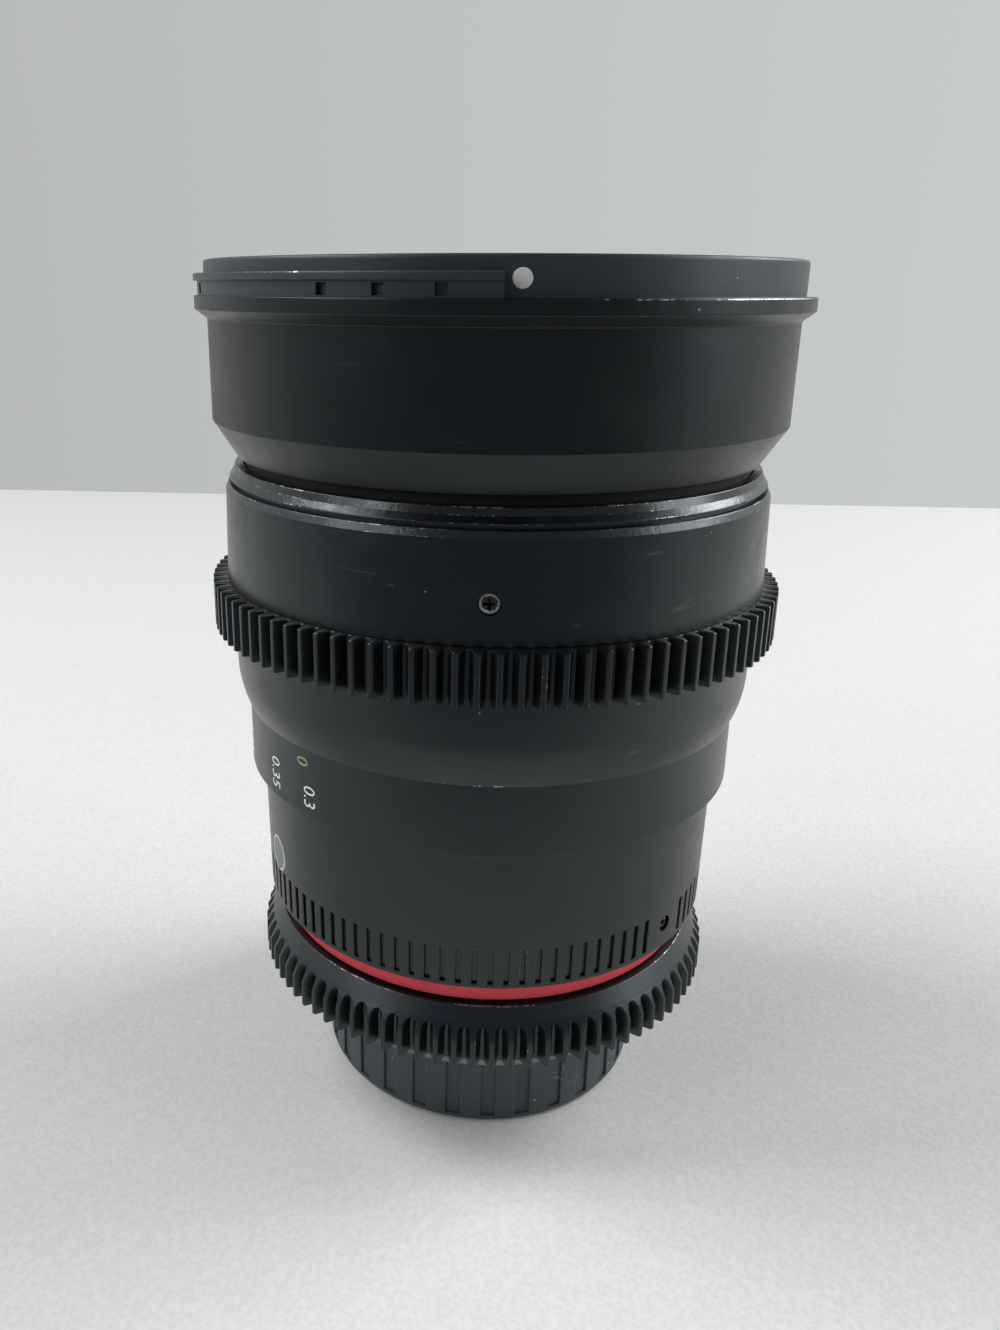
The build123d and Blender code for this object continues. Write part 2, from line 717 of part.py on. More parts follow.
def optics_carriage():
    """The sliding carriage with its threaded head, key groove and iris window."""
    carriage = turned([
        (carriage_bore, carriage_z),
        (carriage_radius, carriage_z),
        (carriage_radius, carriage_thread_z),
        (carriage_thread_radius, carriage_thread_z),
        (carriage_thread_radius, carriage_top_z),
        (carriage_bore, carriage_top_z),
    ])
    groove_spread = degrees_across(GUIDE_KEY_WIDTH + 2 * RUNNING_GAP, carriage_radius)
    groove = arc_block(
        carriage_radius - GUIDE_KEY_REACH - RUNNING_GAP,
        carriage_radius + OVERRUN,
        carriage_z - OVERRUN,
        carriage_thread_z,
        GUIDE_KEY_AZIMUTH,
        groove_spread,
    )
    window = arc_block(
        carriage_bore - OVERRUN,
        carriage_radius + OVERRUN,
        drive_ring_z - RUNNING_GAP,
        drive_ring_z + DRIVE_RING_THICKNESS + RUNNING_GAP,
        iris_throw / 2,
        iris_throw + degrees_across(LINK_TAB_WIDTH, carriage_bore) + 2 * OVERRUN,
    )
    return carriage - groove - window


def front_lens_cell():
    """The cell in front of the iris."""
    step_z = carriage_top_z - THIRD_ELEMENT_EDGE - CELL_FLOOR
    return turned([
        (fourth_element_radius, front_lens_cell_z),
        (carriage_bore, front_lens_cell_z),
        (carriage_bore, carriage_top_z),
        (third_element_radius, carriage_top_z),
        (third_element_radius, step_z),
        (fourth_element_radius, step_z),
    ])


def third_element():
    """The first moving element, in the mouth of the front cell."""
    edge_z = carriage_top_z - THIRD_ELEMENT_EDGE - CELL_FLOOR
    return glass(
        third_element_radius, edge_z, THIRD_ELEMENT_EDGE, THIRD_ELEMENT_SAG, THIRD_ELEMENT_SAG
    )


def fourth_element():
    """The element just in front of the iris."""
    edge_z = front_lens_cell_z + CELL_FLOOR
    return glass(
        fourth_element_radius, edge_z, FOURTH_ELEMENT_EDGE, -FOURTH_ELEMENT_SAG, FOURTH_ELEMENT_SAG
    )


def rear_lens_cell():
    """The stepped cell behind the iris that reaches into the mount."""
    seat_z = base_plate_z - FIFTH_ELEMENT_EDGE - CELL_FLOOR
    return turned([
        (rear_element_radius, rear_cell_z),
        (rear_cell_radius, rear_cell_z),
        (rear_cell_radius, rear_cell_step_z),
        (neck_bore - LINK_GAP, rear_cell_step_z),
        (neck_bore - LINK_GAP, carriage_z),
        (carriage_bore, carriage_z),
        (carriage_bore, base_plate_z),
        (fifth_element_radius, base_plate_z),
        (fifth_element_radius, seat_z),
        (rear_element_radius, seat_z),
    ])


def fifth_element():
    """The element just behind the iris."""
    edge_z = base_plate_z - FIFTH_ELEMENT_EDGE - CELL_FLOOR
    return glass(
        fifth_element_radius, edge_z, FIFTH_ELEMENT_EDGE, FIFTH_ELEMENT_SAG, -FIFTH_ELEMENT_SAG
    )


def rear_element():
    """The last element, at the end of the rear cell."""
    edge_z = rear_cell_z + REAR_ELEMENT_SAG
    return glass(
        rear_element_radius, edge_z, REAR_ELEMENT_EDGE, REAR_ELEMENT_SAG, REAR_ELEMENT_SAG
    )


def iris_base_plate():
    """The plate that carries the blade pivots."""
    plate = ring(
        aperture_radius, carriage_bore, base_plate_z, base_plate_z + BASE_PLATE_THICKNESS
    )
    hole = Pos(pivot_circle, 0, base_plate_z) * Cylinder(
        pin_hole_radius, BASE_PLATE_THICKNESS, align=(Align.CENTER, Align.CENTER, Align.MIN)
    )
    return plate - around(BLADE_COUNT, hole)


def iris_cover_plate():
    """The plate that keeps the drive ring in place."""
    return ring(
        aperture_radius + BLADE_SETBACK,
        carriage_bore,
        cover_plate_z,
        cover_plate_z + COVER_PLATE_THICKNESS,
    )


def drive_pin_place(swing):
    """Radius and angle of a blade's drive pin when the blade has swung by some degrees."""
    x = pivot_circle + blade_arm * sin(radians(swing))
    y = -blade_arm * cos(radians(swing))
    return sqrt(x**2 + y**2), degrees(atan2(y, x))


def drive_slot():
    """The curved slot that a drive pin follows as the drive ring turns."""
    points = []
    for share in (0, 1 / 2, 1):
        radius, angle = drive_pin_place(blade_swing * share)
        turn = radians(angle - iris_throw * share)
        points.append((radius * cos(turn), radius * sin(turn)))
    path = ThreePointArc(*points)
    width = 2 * (BLADE_PIN_RADIUS + DRIVE_SLOT_GAP)
    return Pos(0, 0, drive_ring_z) * extrude(SlotArc(path, width), DRIVE_RING_THICKNESS)


def iris_drive_ring():
    """The turning ring whose curved slots swing the blades."""
    top = drive_ring_z + DRIVE_RING_THICKNESS
    body = ring(blade_outer, drive_ring_radius, drive_ring_z, top)
    tab_inner = drive_ring_radius - RUNNING_GAP
    spread = degrees_across(LINK_TAB_WIDTH, carriage_bore)
    body += arc_block(tab_inner, link_outer, drive_ring_z, top, 0, spread)
    notch = arc_block(
        link_inner - RUNNING_GAP,
        link_outer + OVERRUN,
        drive_ring_z,
        top,
        0,
        degrees_across(LINK_WIDTH + RUNNING_GAP, link_inner),
    )
    return body - notch - around(BLADE_COUNT, drive_slot())


def iris_blade(index):
    """One blade: a curved band, its drive arm and its two pins."""
    angle = 360 / BLADE_COUNT * index
    low = blades_z + BLADE_PITCH * index
    pin_radius, pin_angle = drive_pin_place(0)
    pivot = Pos(pivot_circle, 0)
    drive = Rot(0, 0, pin_angle) * Pos(pin_radius, 0)
    end = radians(BLADE_SPREAD)
    middle = end / 2
    band = make_face([
        ThreePointArc(*[(blade_inner * cos(a), blade_inner * sin(a)) for a in (0, middle, end)]),
        Line(
            (blade_inner * cos(end), blade_inner * sin(end)),
            (blade_outer * cos(end), blade_outer * sin(end)),
        ),
        ThreePointArc(*[(blade_outer * cos(a), blade_outer * sin(a)) for a in (end, middle, 0)]),
        Line((blade_outer, 0), (blade_inner, 0)),
    ])
    arm = make_face(
        Polyline(
            (blade_outer - BLADE_BOSS_RADIUS, 0),
            (pivot_circle + BLADE_BOSS_RADIUS, 0),
            (pivot_circle + BLADE_BOSS_RADIUS, -blade_arm),
            (pivot_circle - BLADE_BOSS_RADIUS, -blade_arm),
            close=True,
        )
    )
    foot = make_face(
        Polyline(
            (blade_outer - BLADE_BAND / 2, 0),
            (pivot_circle, -BLADE_BOSS_RADIUS),
            (pivot_circle, BLADE_BOSS_RADIUS),
            (blade_outer - BLADE_BAND / 2, BLADE_BAND / 2),
            close=True,
        )
    )
    sheet = band + arm + foot + pivot * Circle(BLADE_BOSS_RADIUS) + drive * Circle(BLADE_BOSS_RADIUS)
    blade = Pos(0, 0, low) * extrude(sheet, BLADE_THICKNESS)
    upright = (Align.CENTER, Align.CENTER, Align.MIN)
    pivot_pin = Cylinder(BLADE_PIN_RADIUS, low - base_plate_z + BLADE_THICKNESS, align=upright)
    pin_top = drive_ring_z + DRIVE_RING_THICKNESS
    drive_pin = Cylinder(BLADE_PIN_RADIUS, pin_top - low, align=upright)
    blade += Pos(0, 0, base_plate_z) * pivot * pivot_pin
    blade += Pos(0, 0, low) * drive * drive_pin
    return Rot(0, 0, angle) * blade


def iris_ring():
    """The iris ring that turns on the neck, with its conical collar."""
    return turned([
        (iris_bore, iris_z),
        (iris_seat_radius, iris_z),
        (iris_seat_radius, iris_collar_z),
        (iris_collar_radius, iris_collar_z),
        (iris_collar_radius - IRIS_COLLAR_TAPER, iris_top_z),
        (iris_bore, iris_top_z),
    ])


def iris_gear():
    """The follow-focus gear on the iris ring."""
    return toothed_ring(
        iris_seat_radius, IRIS_GEAR_RISE, IRIS_GEAR_WIDTH, iris_z, IRIS_GEAR_AZIMUTH
    )


def iris_link():
    """The upright bar that carries the iris ring's turn to the drive ring."""
    top = drive_ring_z + DRIVE_RING_THICKNESS + travel_forward + LINK_OVERLAP
    spread = degrees_across(LINK_WIDTH, link_inner)
    return arc_block(link_inner, link_outer, iris_top_z, top, 0, spread)


def rear_cap():
    """The grooved rear cap with its three inner lugs."""
    cup = turned([
        (0, 0),
        (cap_radius - CAP_CHAMFER, 0),
        (cap_radius, CAP_CHAMFER),
        (cap_radius, CAP_HEIGHT),
        (cap_bore, CAP_HEIGHT),
        (cap_bore, CAP_FLOOR),
        (0, CAP_FLOOR),
    ])
    lug_z = spigot_z + LUG_THICKNESS + FLOOR_GAP
    lug = arc_block(
        spigot_radius + RUNNING_GAP,
        cap_bore + CAP_LUG_SEAT,
        lug_z,
        lug_z + CAP_LUG_THICKNESS,
        0,
        CAP_LUG_SPREAD,
    )
    groove = Box(
        CAP_GROOVE_DEPTH + OVERRUN,
        CAP_GROOVE_WIDTH,
        CAP_HEIGHT - 2 * CAP_LIP,
        align=(Align.MIN, Align.CENTER, Align.MIN),
    )
    groove = Pos(cap_radius - CAP_GROOVE_DEPTH, 0, CAP_LIP) * groove
    return cup + around(LUG_COUNT, lug) - around(CAP_GROOVE_COUNT, groove, CAP_GROOVE_AZIMUTH)


sub_parts = {
    "front_barrel": front_barrel,
    "front_trim_ring": front_trim_ring,
    "front_cell": front_cell,
    "front_element": front_element,
    "second_element": second_element,
    "main_tube": main_tube,
    "guide_key": guide_key,
    "rear_barrel": rear_barrel,
    "rear_neck": rear_neck,
    "red_ring": red_ring,
    "barrel_set_screw": barrel_set_screw,
    "mount_ring": mount_ring,
    "mount_screws": mount_screws,
    "rear_baffle": rear_baffle,
    "focus_ring": focus_ring,
    "focus_trim_ring": focus_trim_ring,
    "focus_screws": focus_screws,
    "focus_gear": focus_gear,
    "scale_ring": scale_ring,
    "drive_key": drive_key,
    "helicoid_ring": helicoid_ring,
    "optics_carriage": optics_carriage,
    "front_lens_cell": front_lens_cell,
    "third_element": third_element,
    "fourth_element": fourth_element,
    "rear_lens_cell": rear_lens_cell,
    "fifth_element": fifth_element,
    "rear_element": rear_element,
    "iris_base_plate": iris_base_plate,
    "iris_cover_plate": iris_cover_plate,
    "iris_drive_ring": iris_drive_ring,
    "iris_ring": iris_ring,
    "iris_gear": iris_gear,
    "iris_link": iris_link,
    "rear_cap": rear_cap,
}

os.makedirs("parts", exist_ok=True)
for name, make in sub_parts.items():
    shape = make()
    solids = shape if isinstance(shape, list) else shape.solids()
    export_step(Compound(children=list(solids)), f"parts/{name}.step")
for index in range(BLADE_COUNT):
    export_step(iris_blade(index), f"parts/iris_blade_{index + 1}.step")
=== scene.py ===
import json
import math

import bmesh
import bpy
from bpy.props import FloatProperty, FloatVectorProperty, IntProperty, PointerProperty
from mathutils import Matrix, Vector


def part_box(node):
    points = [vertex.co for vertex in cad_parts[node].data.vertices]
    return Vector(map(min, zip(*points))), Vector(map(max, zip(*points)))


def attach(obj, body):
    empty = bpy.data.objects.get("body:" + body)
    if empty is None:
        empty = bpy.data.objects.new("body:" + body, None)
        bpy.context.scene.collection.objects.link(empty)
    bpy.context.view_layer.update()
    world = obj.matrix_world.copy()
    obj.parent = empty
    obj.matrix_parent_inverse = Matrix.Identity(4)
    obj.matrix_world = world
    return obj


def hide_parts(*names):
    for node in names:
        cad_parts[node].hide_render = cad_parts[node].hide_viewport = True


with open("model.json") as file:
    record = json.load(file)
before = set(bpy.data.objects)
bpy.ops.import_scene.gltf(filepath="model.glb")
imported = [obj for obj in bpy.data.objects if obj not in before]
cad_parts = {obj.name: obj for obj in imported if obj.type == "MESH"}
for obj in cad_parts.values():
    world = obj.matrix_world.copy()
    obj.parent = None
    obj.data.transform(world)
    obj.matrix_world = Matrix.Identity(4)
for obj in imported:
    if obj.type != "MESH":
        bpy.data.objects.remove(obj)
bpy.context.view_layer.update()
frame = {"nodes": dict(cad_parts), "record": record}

bl_info = {
    "name": "Cinema prime lens",
    "version": (1, 0, 0),
    "blender": (4, 5, 0),
    "location": "3D View > Sidebar > Lens",
    "description": "Builds the visible pieces of a geared cinema prime lens around its CAD frame",
    "category": "Add Mesh",
}

MM = 0.001
TAU = 2 * math.pi
EDGE = "edge"
COLUMNS = 240
SHARP_ANGLE = math.radians(40)
FRAME_WIDTH, FRAME_HEIGHT = 1000, 1330
COOL = (0.84, 0.95, 1.0)
CUT_PAST, SCREW_CUT_PAST = 2 * MM, 0.3 * MM
KEEN_EDGE, CRISP_EDGE, FINE_EDGE, SMALL_EDGE = 0.07 * MM, 0.1 * MM, 0.12 * MM, 0.15 * MM
LIP_EDGE, SOFT_EDGE, ROUND_EDGE, BROAD_EDGE = 0.18 * MM, 0.25 * MM, 0.3 * MM, 0.4 * MM
SIDE_LEAST = 2 * MM
LETTER_THICKNESS, WELD_DISTANCE = 0.02 * MM, 0.001 * MM
BUMP_DEPTH, TABLE_BUMP_DEPTH = 0.05 * MM, 0.15 * MM


def bottom(node):
    """Lowest height of a CAD node."""
    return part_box(node)[0].z


def top(node):
    """Highest height of a CAD node."""
    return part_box(node)[1].z


def reach(node):
    """Outermost radius of a round CAD node."""
    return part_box(node)[1].x


def length(name, description, millimetres):
    """A length property, given in millimetres and kept in metres."""
    return FloatProperty(
        name=name, description=description, default=millimetres * MM, unit="LENGTH", precision=5
    )


def angle(name, description, degrees):
    """An angle property, given in degrees and kept in radians."""
    return FloatProperty(
        name=name, description=description, default=math.radians(degrees), subtype="ANGLE"
    )


def colour(name, description, value):
    """A colour property."""
    return FloatVectorProperty(
        name=name, description=description, default=value, size=3, min=0, max=1, subtype="COLOR"
    )


def figure(name, description, value, subtype="NONE"):
    """A plain figure; with the angle subtype it is given in radians."""
    return FloatProperty(name=name, description=description, default=value, subtype=subtype)


def number(name, description, value):
    """A whole number property."""
    return IntProperty(name=name, description=description, default=value, min=1)


class FinishSettings(bpy.types.PropertyGroup):
    """Colours and wear of the finishes."""

    barrel_black: colour("Barrel black", "Anodised front barrel", (0.0018, 0.0020, 0.0022))
    # Rim black is lighter than the barrel's black: painted light for the light the rim catches.
    rim_black: colour("Rim black", "Front rim in front of the hood flange", (0.034, 0.038, 0.045))
    focus_black: colour("Focus ring black", "Anodised focus ring", (0.0018, 0.0020, 0.0021))
    rear_black: colour("Rear black", "Satin rear barrel and scale ring", (0.0053, 0.0061, 0.0063))
    gloss_black: colour("Trim black", "Glossy enamel of the trim ring", (0.004, 0.004, 0.0045))
    gear_black: colour("Gear black", "Moulded gear rings", (0.006, 0.0065, 0.0078))
    cap_black: colour("Cap black", "Moulded rear cap", (0.050, 0.057, 0.062))
    rubbed_metal: colour("Rubbed metal", "Bevel rubbed to dark metal", (0.012, 0.0125, 0.013))
    inner_black: colour("Inner black", "Matt black inside the barrels", (0.010, 0.010, 0.010))
    red: colour("Accent red", "Anodised accent ring", (0.70, 0.055, 0.075))
    bare_metal: colour("Bare metal", "Metal where the finish has worn", (0.55, 0.56, 0.58))
    dark_steel: colour("Dark steel", "Blackened screws", (0.015, 0.015, 0.0155))
    brass: colour("Brass", "Turned brass rings", (0.52, 0.38, 0.16))
    white_paint: colour("White paint", "Metre numerals and index marks", (0.82, 0.83, 0.82))
    dot_paint: colour("Dot paint", "White index dot", (0.84, 0.84, 0.82))
    lime_paint: colour("Lime paint", "Foot numerals", (0.33, 0.36, 0.17))
    badge: colour("Badge", "Bare badge plate", (0.13, 0.14, 0.14))
    mount_metal: colour("Mount metal", "Machined mount flange", (0.16, 0.165, 0.17))
    dust: colour("Dust", "Dust and scuffs", (0.30, 0.31, 0.32))


class StageSettings(bpy.types.PropertyGroup):
    """Camera, table, background and light."""

    camera_distance: length("Camera distance", "From the optical axis, towards -Y", 152.9905)
    camera_height: length("Camera height", "Above the table", 119.1581)
    camera_pitch: figure("Camera pitch", "Downward tilt", 0.3129694, "ANGLE")
    camera_yaw: figure("Camera yaw", "Turn towards +X", -0.0865433, "ANGLE")
    camera_roll: figure("Camera roll", "Roll about the view", 0.0032679, "ANGLE")
    focal_pixels: figure("Focal length", "In pixels of the photograph's frame", 1052.0034)
    centre_x: figure("Centre X", "Optical centre, in pixels", 401.8114)
    centre_y: figure("Centre Y", "Optical centre, in pixels", 627.6867)
    table_back: length("Table back edge", "Behind the optical axis", 477)
    table_width: length("Table width", "Side to side", 700)
    table_front: length("Table front", "In front of the optical axis", 150)
    table_colour: colour("Table", "Pale table top", (0.79, 0.79, 0.765))
    wall_colour: colour("Background", "Pale grey background", (0.52, 0.54, 0.52))
    side_colour: colour("Sides", "World at both sides", (0.70, 0.71, 0.72))
    front_colour: colour("Front", "World in front", (0.20, 0.21, 0.23))
    roof_colour: colour("Roof", "World overhead", (0.012, 0.012, 0.013))


class FrontSettings(bpy.types.PropertyGroup):
    """Sizes of the front barrel."""

    tube_radius: length("Tube radius", "Fixed tube that the barrel sits on", 35.6)
    cone_radius: length("Cone radius", "Small end of the cone", 36.6)
    cone_height: length("Cone height", "From its small end to the barrel", 5.0)
    barrel_radius: length("Barrel radius", "Outside of the barrel", 39.8)
    barrel_height: length("Barrel height", "Straight part of the barrel", 13.1)
    flange_bevel: length("Flange bevel", "Height of the bevel under the hood flange", 1.2)
    flange_height: length("Flange height", "Straight part of the hood flange", 1.7)
    rim_radius: length("Rim radius", "Outside of the front rim", 40.0)
    bore: length("Bore", "Inside of the barrel", 36.8)
    shoulder_bore: length("Shoulder bore", "Inside of the barrel's shoulder", 32.9)
    shoulder_height: length("Shoulder height", "Thickness of the shoulder", 2.0)
    seat_height: length("Seat height", "From the cone to the top of the fixed tube", 4.0)
    thread_radius: length("Thread radius", "Root of the filter thread", 38.1)
    thread_depth: length("Thread depth", "Depth of the filter thread", 0.36)
    thread_pitch: length("Thread pitch", "Pitch of the filter thread", 0.75)
    thread_length: length("Thread length", "Length of the filter thread", 5.2)
    lip_azimuth: angle("Lip azimuth", "Middle of the first hood lip", -44.2)
    lip_spread: angle("Lip spread", "Length of each hood lip", 90)
    lip_height: length("Lip height", "Thickness of the hood lip", 0.9)
    groove: length("Groove", "Height of the groove under the lip", 1.8)
    web_radius: length("Web radius", "Outside of the web in the groove", 40.9)
    pocket_width: length("Pocket width", "Width of the pockets in the web", 1.4)
    pocket_height: length("Pocket height", "Height of the pockets in the web", 1.3)
    pocket_depth: length("Pocket depth", "Depth of the shallow pockets in the web", 0.7)
    rubbed_azimuth: angle("Rubbed azimuth", "Middle of the rubbed stretch of the flange", 50)
    rubbed_spread: angle("Rubbed spread", "Length of the rubbed stretch", 44)
    chip_azimuth: angle("Chip azimuth", "Place of the chips on the hood lip", -31.5)
    chip_spread: angle("Chip spread", "Length of the chipped stretch", 8)
    dot_azimuth: angle("Dot azimuth", "Place of the white index dot", 3.44)
    dot_height: length("Dot height", "Height of the white index dot", 120.09)
    dot_radius: length("Dot radius", "Radius of the white index dot", 1.05)
    trim_wall: length("Trim cone wall", "Wall of the blank cone behind the thread", 1.0)
    trim_step: length("Trim cone step", "Height of the cone's inner edge", 1.5)
    ridge_count: number("Ridges", "Fine ridges that keep the blank cone dark", 14)


class FocusSettings(bpy.types.PropertyGroup):
    """Sizes of the focus ring."""

    radius: length("Radius", "Outside of the ring in front of the gear", 38.4)
    shoulder_radius: length("Shoulder radius", "Outside just in front of the gear", 38.7)
    rear_radius: length("Rear radius", "Outside just behind the gear", 38.0)
    skirt_radius: length("Skirt radius", "Outside at the start of the rounding", 37.8)
    edge_radius: length("Edge radius", "Outside at the rear edge", 36.4)
    seat_radius: length("Gear seat radius", "Seat under the gear", 37.4)
    bore: length("Bore", "Inside of the ring", 35.8)
    round_height: length("Rounding height", "Height of the rounded rear edge", 6.2)
    bevel: length("Bevel", "Height of the front bevel", 0.9)
    bevel_depth: length("Bevel depth", "Depth of the front bevel", 0.4)
    screw_radius: length("Screw radius", "Cross-head screws", 1.36)
    screw_sink: length("Screw sink", "Depth of the screw heads under the surface", 0.15)
    screw_lift: length("Screw height", "Above the ring's rear edge", 23.8)
    screw_gap: length("Screw gap", "Play round each screw", 0.04)
    screw_length: length("Screw length", "Length of each screw", 1.8)
    well_depth: length("Well depth", "Depth of the screw holes", 2.2)
    screw_count: number("Screws", "Cross-head screws round the ring", 3)
    trim_neck: length("Trim neck radius", "Neck under the trim ring", 37.2)
    trim_neck_height: length("Trim neck height", "Height of the neck", 0.65)
    trim_radius: length("Trim radius", "Outside of the trim ring", 37.9)
    trim_bevel: length("Trim bevel", "Height of the trim ring's bevel", 0.9)
    trim_bevel_depth: length("Trim bevel depth", "Depth of the trim ring's bevel", 0.6)
    trim_lip: length("Trim lip radius", "Outside of the trim ring's front edge", 37.0)


class GearSettings(bpy.types.PropertyGroup):
    """Sizes of the follow-focus gears."""

    module: length("Module", "Pitch circle's diameter for each tooth", 0.8)
    dedendum: figure("Dedendum", "Root depth in modules", 1.25)
    pressure_angle: angle("Pressure angle", "Slope of the flanks", 20)
    bevel: length("Bevel", "Bevel along the edges of the teeth", 0.14)
    focus_teeth: number("Focus teeth", "Teeth of the focus gear", 100)
    focus_azimuth: angle("Focus azimuth", "Turn of the focus gear", 2.0)
    iris_teeth: number("Iris teeth", "Teeth of the iris gear", 86)
    iris_azimuth: angle("Iris azimuth", "Turn of the iris gear", -0.7)
    iris_bore: length("Iris gear bore", "Seat of the iris gear", 30.8)
    cone_height: length("Cone height", "Height of the cone over the iris gear's teeth", 2.5)
    gap_end: length("Gap end", "From the gear's top to the rounded ends of its gaps", 0.4)
    gap_round: length("Gap rounding", "Radius of the rounded ends of the gaps", 0.85)


class ScaleSettings(bpy.types.PropertyGroup):
    """Sizes of the distance scale."""

    bore: length("Bore", "Inside of the scale ring", 33.0)
    digit_size: length("Digit size", "Height of the font", 3.2)
    digit_thinning: length("Digit thinning", "How much thinner the strokes are", 0.012)
    digit_stretch: figure("Digit stretch", "Width against height of the digits", 0.87)
    infinity_azimuth: angle("Infinity azimuth", "Place of the infinity mark", -202)
    curve_constant: figure("Curve constant", "Degrees times metres of the focus curve", 92.8)
    curve_offset: figure("Curve offset", "Offset of the focus curve, in metres", 0.273)
    metre_foot: length("Metre row", "Height of the metre row's lower end", 52.5)
    foot_foot: length("Foot row", "Height of the foot row's lower end", 58.45)
    covered: length("Covered", "Upper edge of the scale that stays under the focus ring", 1.35)
    foot_turn: angle("Foot turn", "Turn of the foot row", -0.7)
    index_azimuth: angle("Index azimuth", "Place of the index line", -90)


class RearSettings(bpy.types.PropertyGroup):
    """Sizes of the rear barrel."""

    radius: length("Rear radius", "Outside at the rear edge", 34.0)
    taper: length("Taper", "How much wider the front edge is", 0.4)
    tube_radius: length("Tube radius", "Fixed tube inside", 32.8)
    neck_bore: length("Neck bore", "Hole in the floor", 26.2)
    floor: length("Floor", "Thickness of the floor", 2.0)
    rib_pitches: number("Rib pitches", "Equal pitches round the barrel", 100)
    plain_pitches: number("Plain pitches", "Pitches left plain for the set screw", 3)
    slot_width: length("Slot width", "Width of the slots between the ribs", 0.8)
    slot_depth: length("Slot depth", "Depth of the slots", 0.42)
    slot_height: length("Slot height", "Length of the slots", 5.3)
    slot_lift: length("Slot lift", "Above the rear edge", 0.7)
    plain_azimuth: angle("Plain azimuth", "Place of the set screw", 49.5)
    well_radius: length("Well radius", "Well of the set screw", 1.2)
    well_depth: length("Well depth", "Depth of the set screw's well", 1.15)
    link_inner: length("Link slot inside", "Inner radius of the slot for the iris link", 29.7)
    link_outer: length("Link slot outside", "Outer radius of the slot for the iris link", 31.4)
    link_azimuth: angle("Link azimuth", "Middle of the slot for the iris link", 123)
    link_spread: angle("Link spread", "Length of the slot for the iris link", 72.2)
    screw_radius: length("Screw radius", "Set screw", 0.9)
    screw_sink: length("Screw sink", "Depth of the set screw", 0.3)
    screw_lift: length("Screw lift", "Above the rear edge", 3.8)
    badge_azimuth: angle("Badge azimuth", "Place of the bare badge", -62.0)
    badge_height: length("Badge height", "Height of the bare badge", 38.9)
    badge_radius: length("Badge radius", "Radius of the bare badge", 2.8)
    red_bore: length("Red ring bore", "Inside of the red ring", 31.45)
    red_bevel: length("Red ring bevel", "Rounding of the red ring", 0.2)
    red_radius: length("Red ring radius", "Outside of the red ring", 31.7)
    red_lip: length("Red ring lip", "How far it reaches down towards the iris ring", 0.55)


class IrisSettings(bpy.types.PropertyGroup):
    """Sizes of the iris ring and the mount."""

    bore: length("Bore", "Inside of the iris ring", 29.2)
    seat_radius: length("Seat radius", "Seat of the gear", 30.8)
    collar_radius: length("Collar radius", "Wide end of the collar", 33.76)
    collar_taper: length("Collar taper", "How much narrower the other end is", 1.16)
    collar_height: length("Collar height", "Height of the collar", 2.0)


class CapSettings(bpy.types.PropertyGroup):
    """Sizes of the rear cap."""

    bore: length("Bore", "Inside of the cap", 23.4)
    floor: length("Floor", "Thickness of the floor", 1.8)
    chamfer: length("Chamfer", "Bevel at the foot", 0.6)
    groove_count: number("Grooves", "Grooves round the cap", 30)
    groove_width: length("Groove width", "Width of each groove", 2.2)
    groove_depth: length("Groove depth", "Depth of each groove", 0.35)
    groove_azimuth: angle("Groove azimuth", "Place of the first groove", 4.5)
    lip: length("Lip", "Plain band above the grooves", 2.4)
    foot: length("Foot", "Plain band under the grooves", 1.1)
    lug_radius: length("Lug radius", "Inside of the bayonet lugs", 21.8)
    lug_height: length("Lug height", "Thickness of the bayonet lugs", 1.5)
    lug_spread: angle("Lug spread", "Length of each lug", 44)
    lug_count: number("Lugs", "Bayonet lugs", 3)
    lug_lift: length("Lug lift", "Height of the lugs' underside", 11.0)


def on_side(azimuth, radius, height):
    """A point on the side of the lens; the azimuth runs from -Y towards +X."""
    return Vector((radius * math.sin(azimuth), -radius * math.cos(azimuth), height))


def linked(name, data):
    """An object in the scene."""
    made = bpy.data.objects.new(name, data)
    bpy.context.scene.collection.objects.link(made)
    return made


def evaluated_mesh(made):
    """The mesh of an object with its modifiers applied."""
    bpy.context.view_layer.update()
    graph = bpy.context.evaluated_depsgraph_get()
    return bpy.data.meshes.new_from_object(made.evaluated_get(graph))


def add_piece(name, mesh, coat, body, replaced=(), weighted=False):
    """A visible piece: its mesh, finish, the body it rides on and the CAD nodes it stands for.

    Weighted normals let the large faces set the shading next to the small fillets.
    """
    piece = linked(name, mesh)
    mesh.materials.clear()
    mesh.materials.append(finish(coat))
    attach(piece, body)
    if replaced:
        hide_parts(*replaced)
    if weighted:
        piece.modifiers.new("Weighted normals", "WEIGHTED_NORMAL").keep_sharp = True
    return piece


def finish_mesh(mesh):
    """Shades a mesh smoothly between its sharp edges."""
    mesh.shade_smooth()
    mesh.set_sharp_from_angle(angle=SHARP_ANGLE)
    return mesh


def refinish(piece, coat, low, high, nearest):
    """Gives the faces between two heights, and outside a radius, another finish."""
    piece.data.materials.append(finish(coat))
    for face in piece.data.polygons:
        if low < face.center.z < high and math.hypot(*face.center[:2]) > nearest:
            face.material_index = len(piece.data.materials) - 1
    return piece


def mesh_from(name, points, faces, wear):
    """A mesh with outward faces and its wear stored as an attribute."""
    mesh = bpy.data.meshes.new(name)
    mesh.from_pydata([tuple(point) for point in points], [], faces)
    attribute = mesh.attributes.new(EDGE, "FLOAT", "POINT")
    attribute.data.foreach_set("value", wear)
    shape = bmesh.new()
    shape.from_mesh(mesh)
    bmesh.ops.recalc_face_normals(shape, faces=shape.faces)
    shape.to_mesh(mesh)
    shape.free()
    return finish_mesh(mesh)


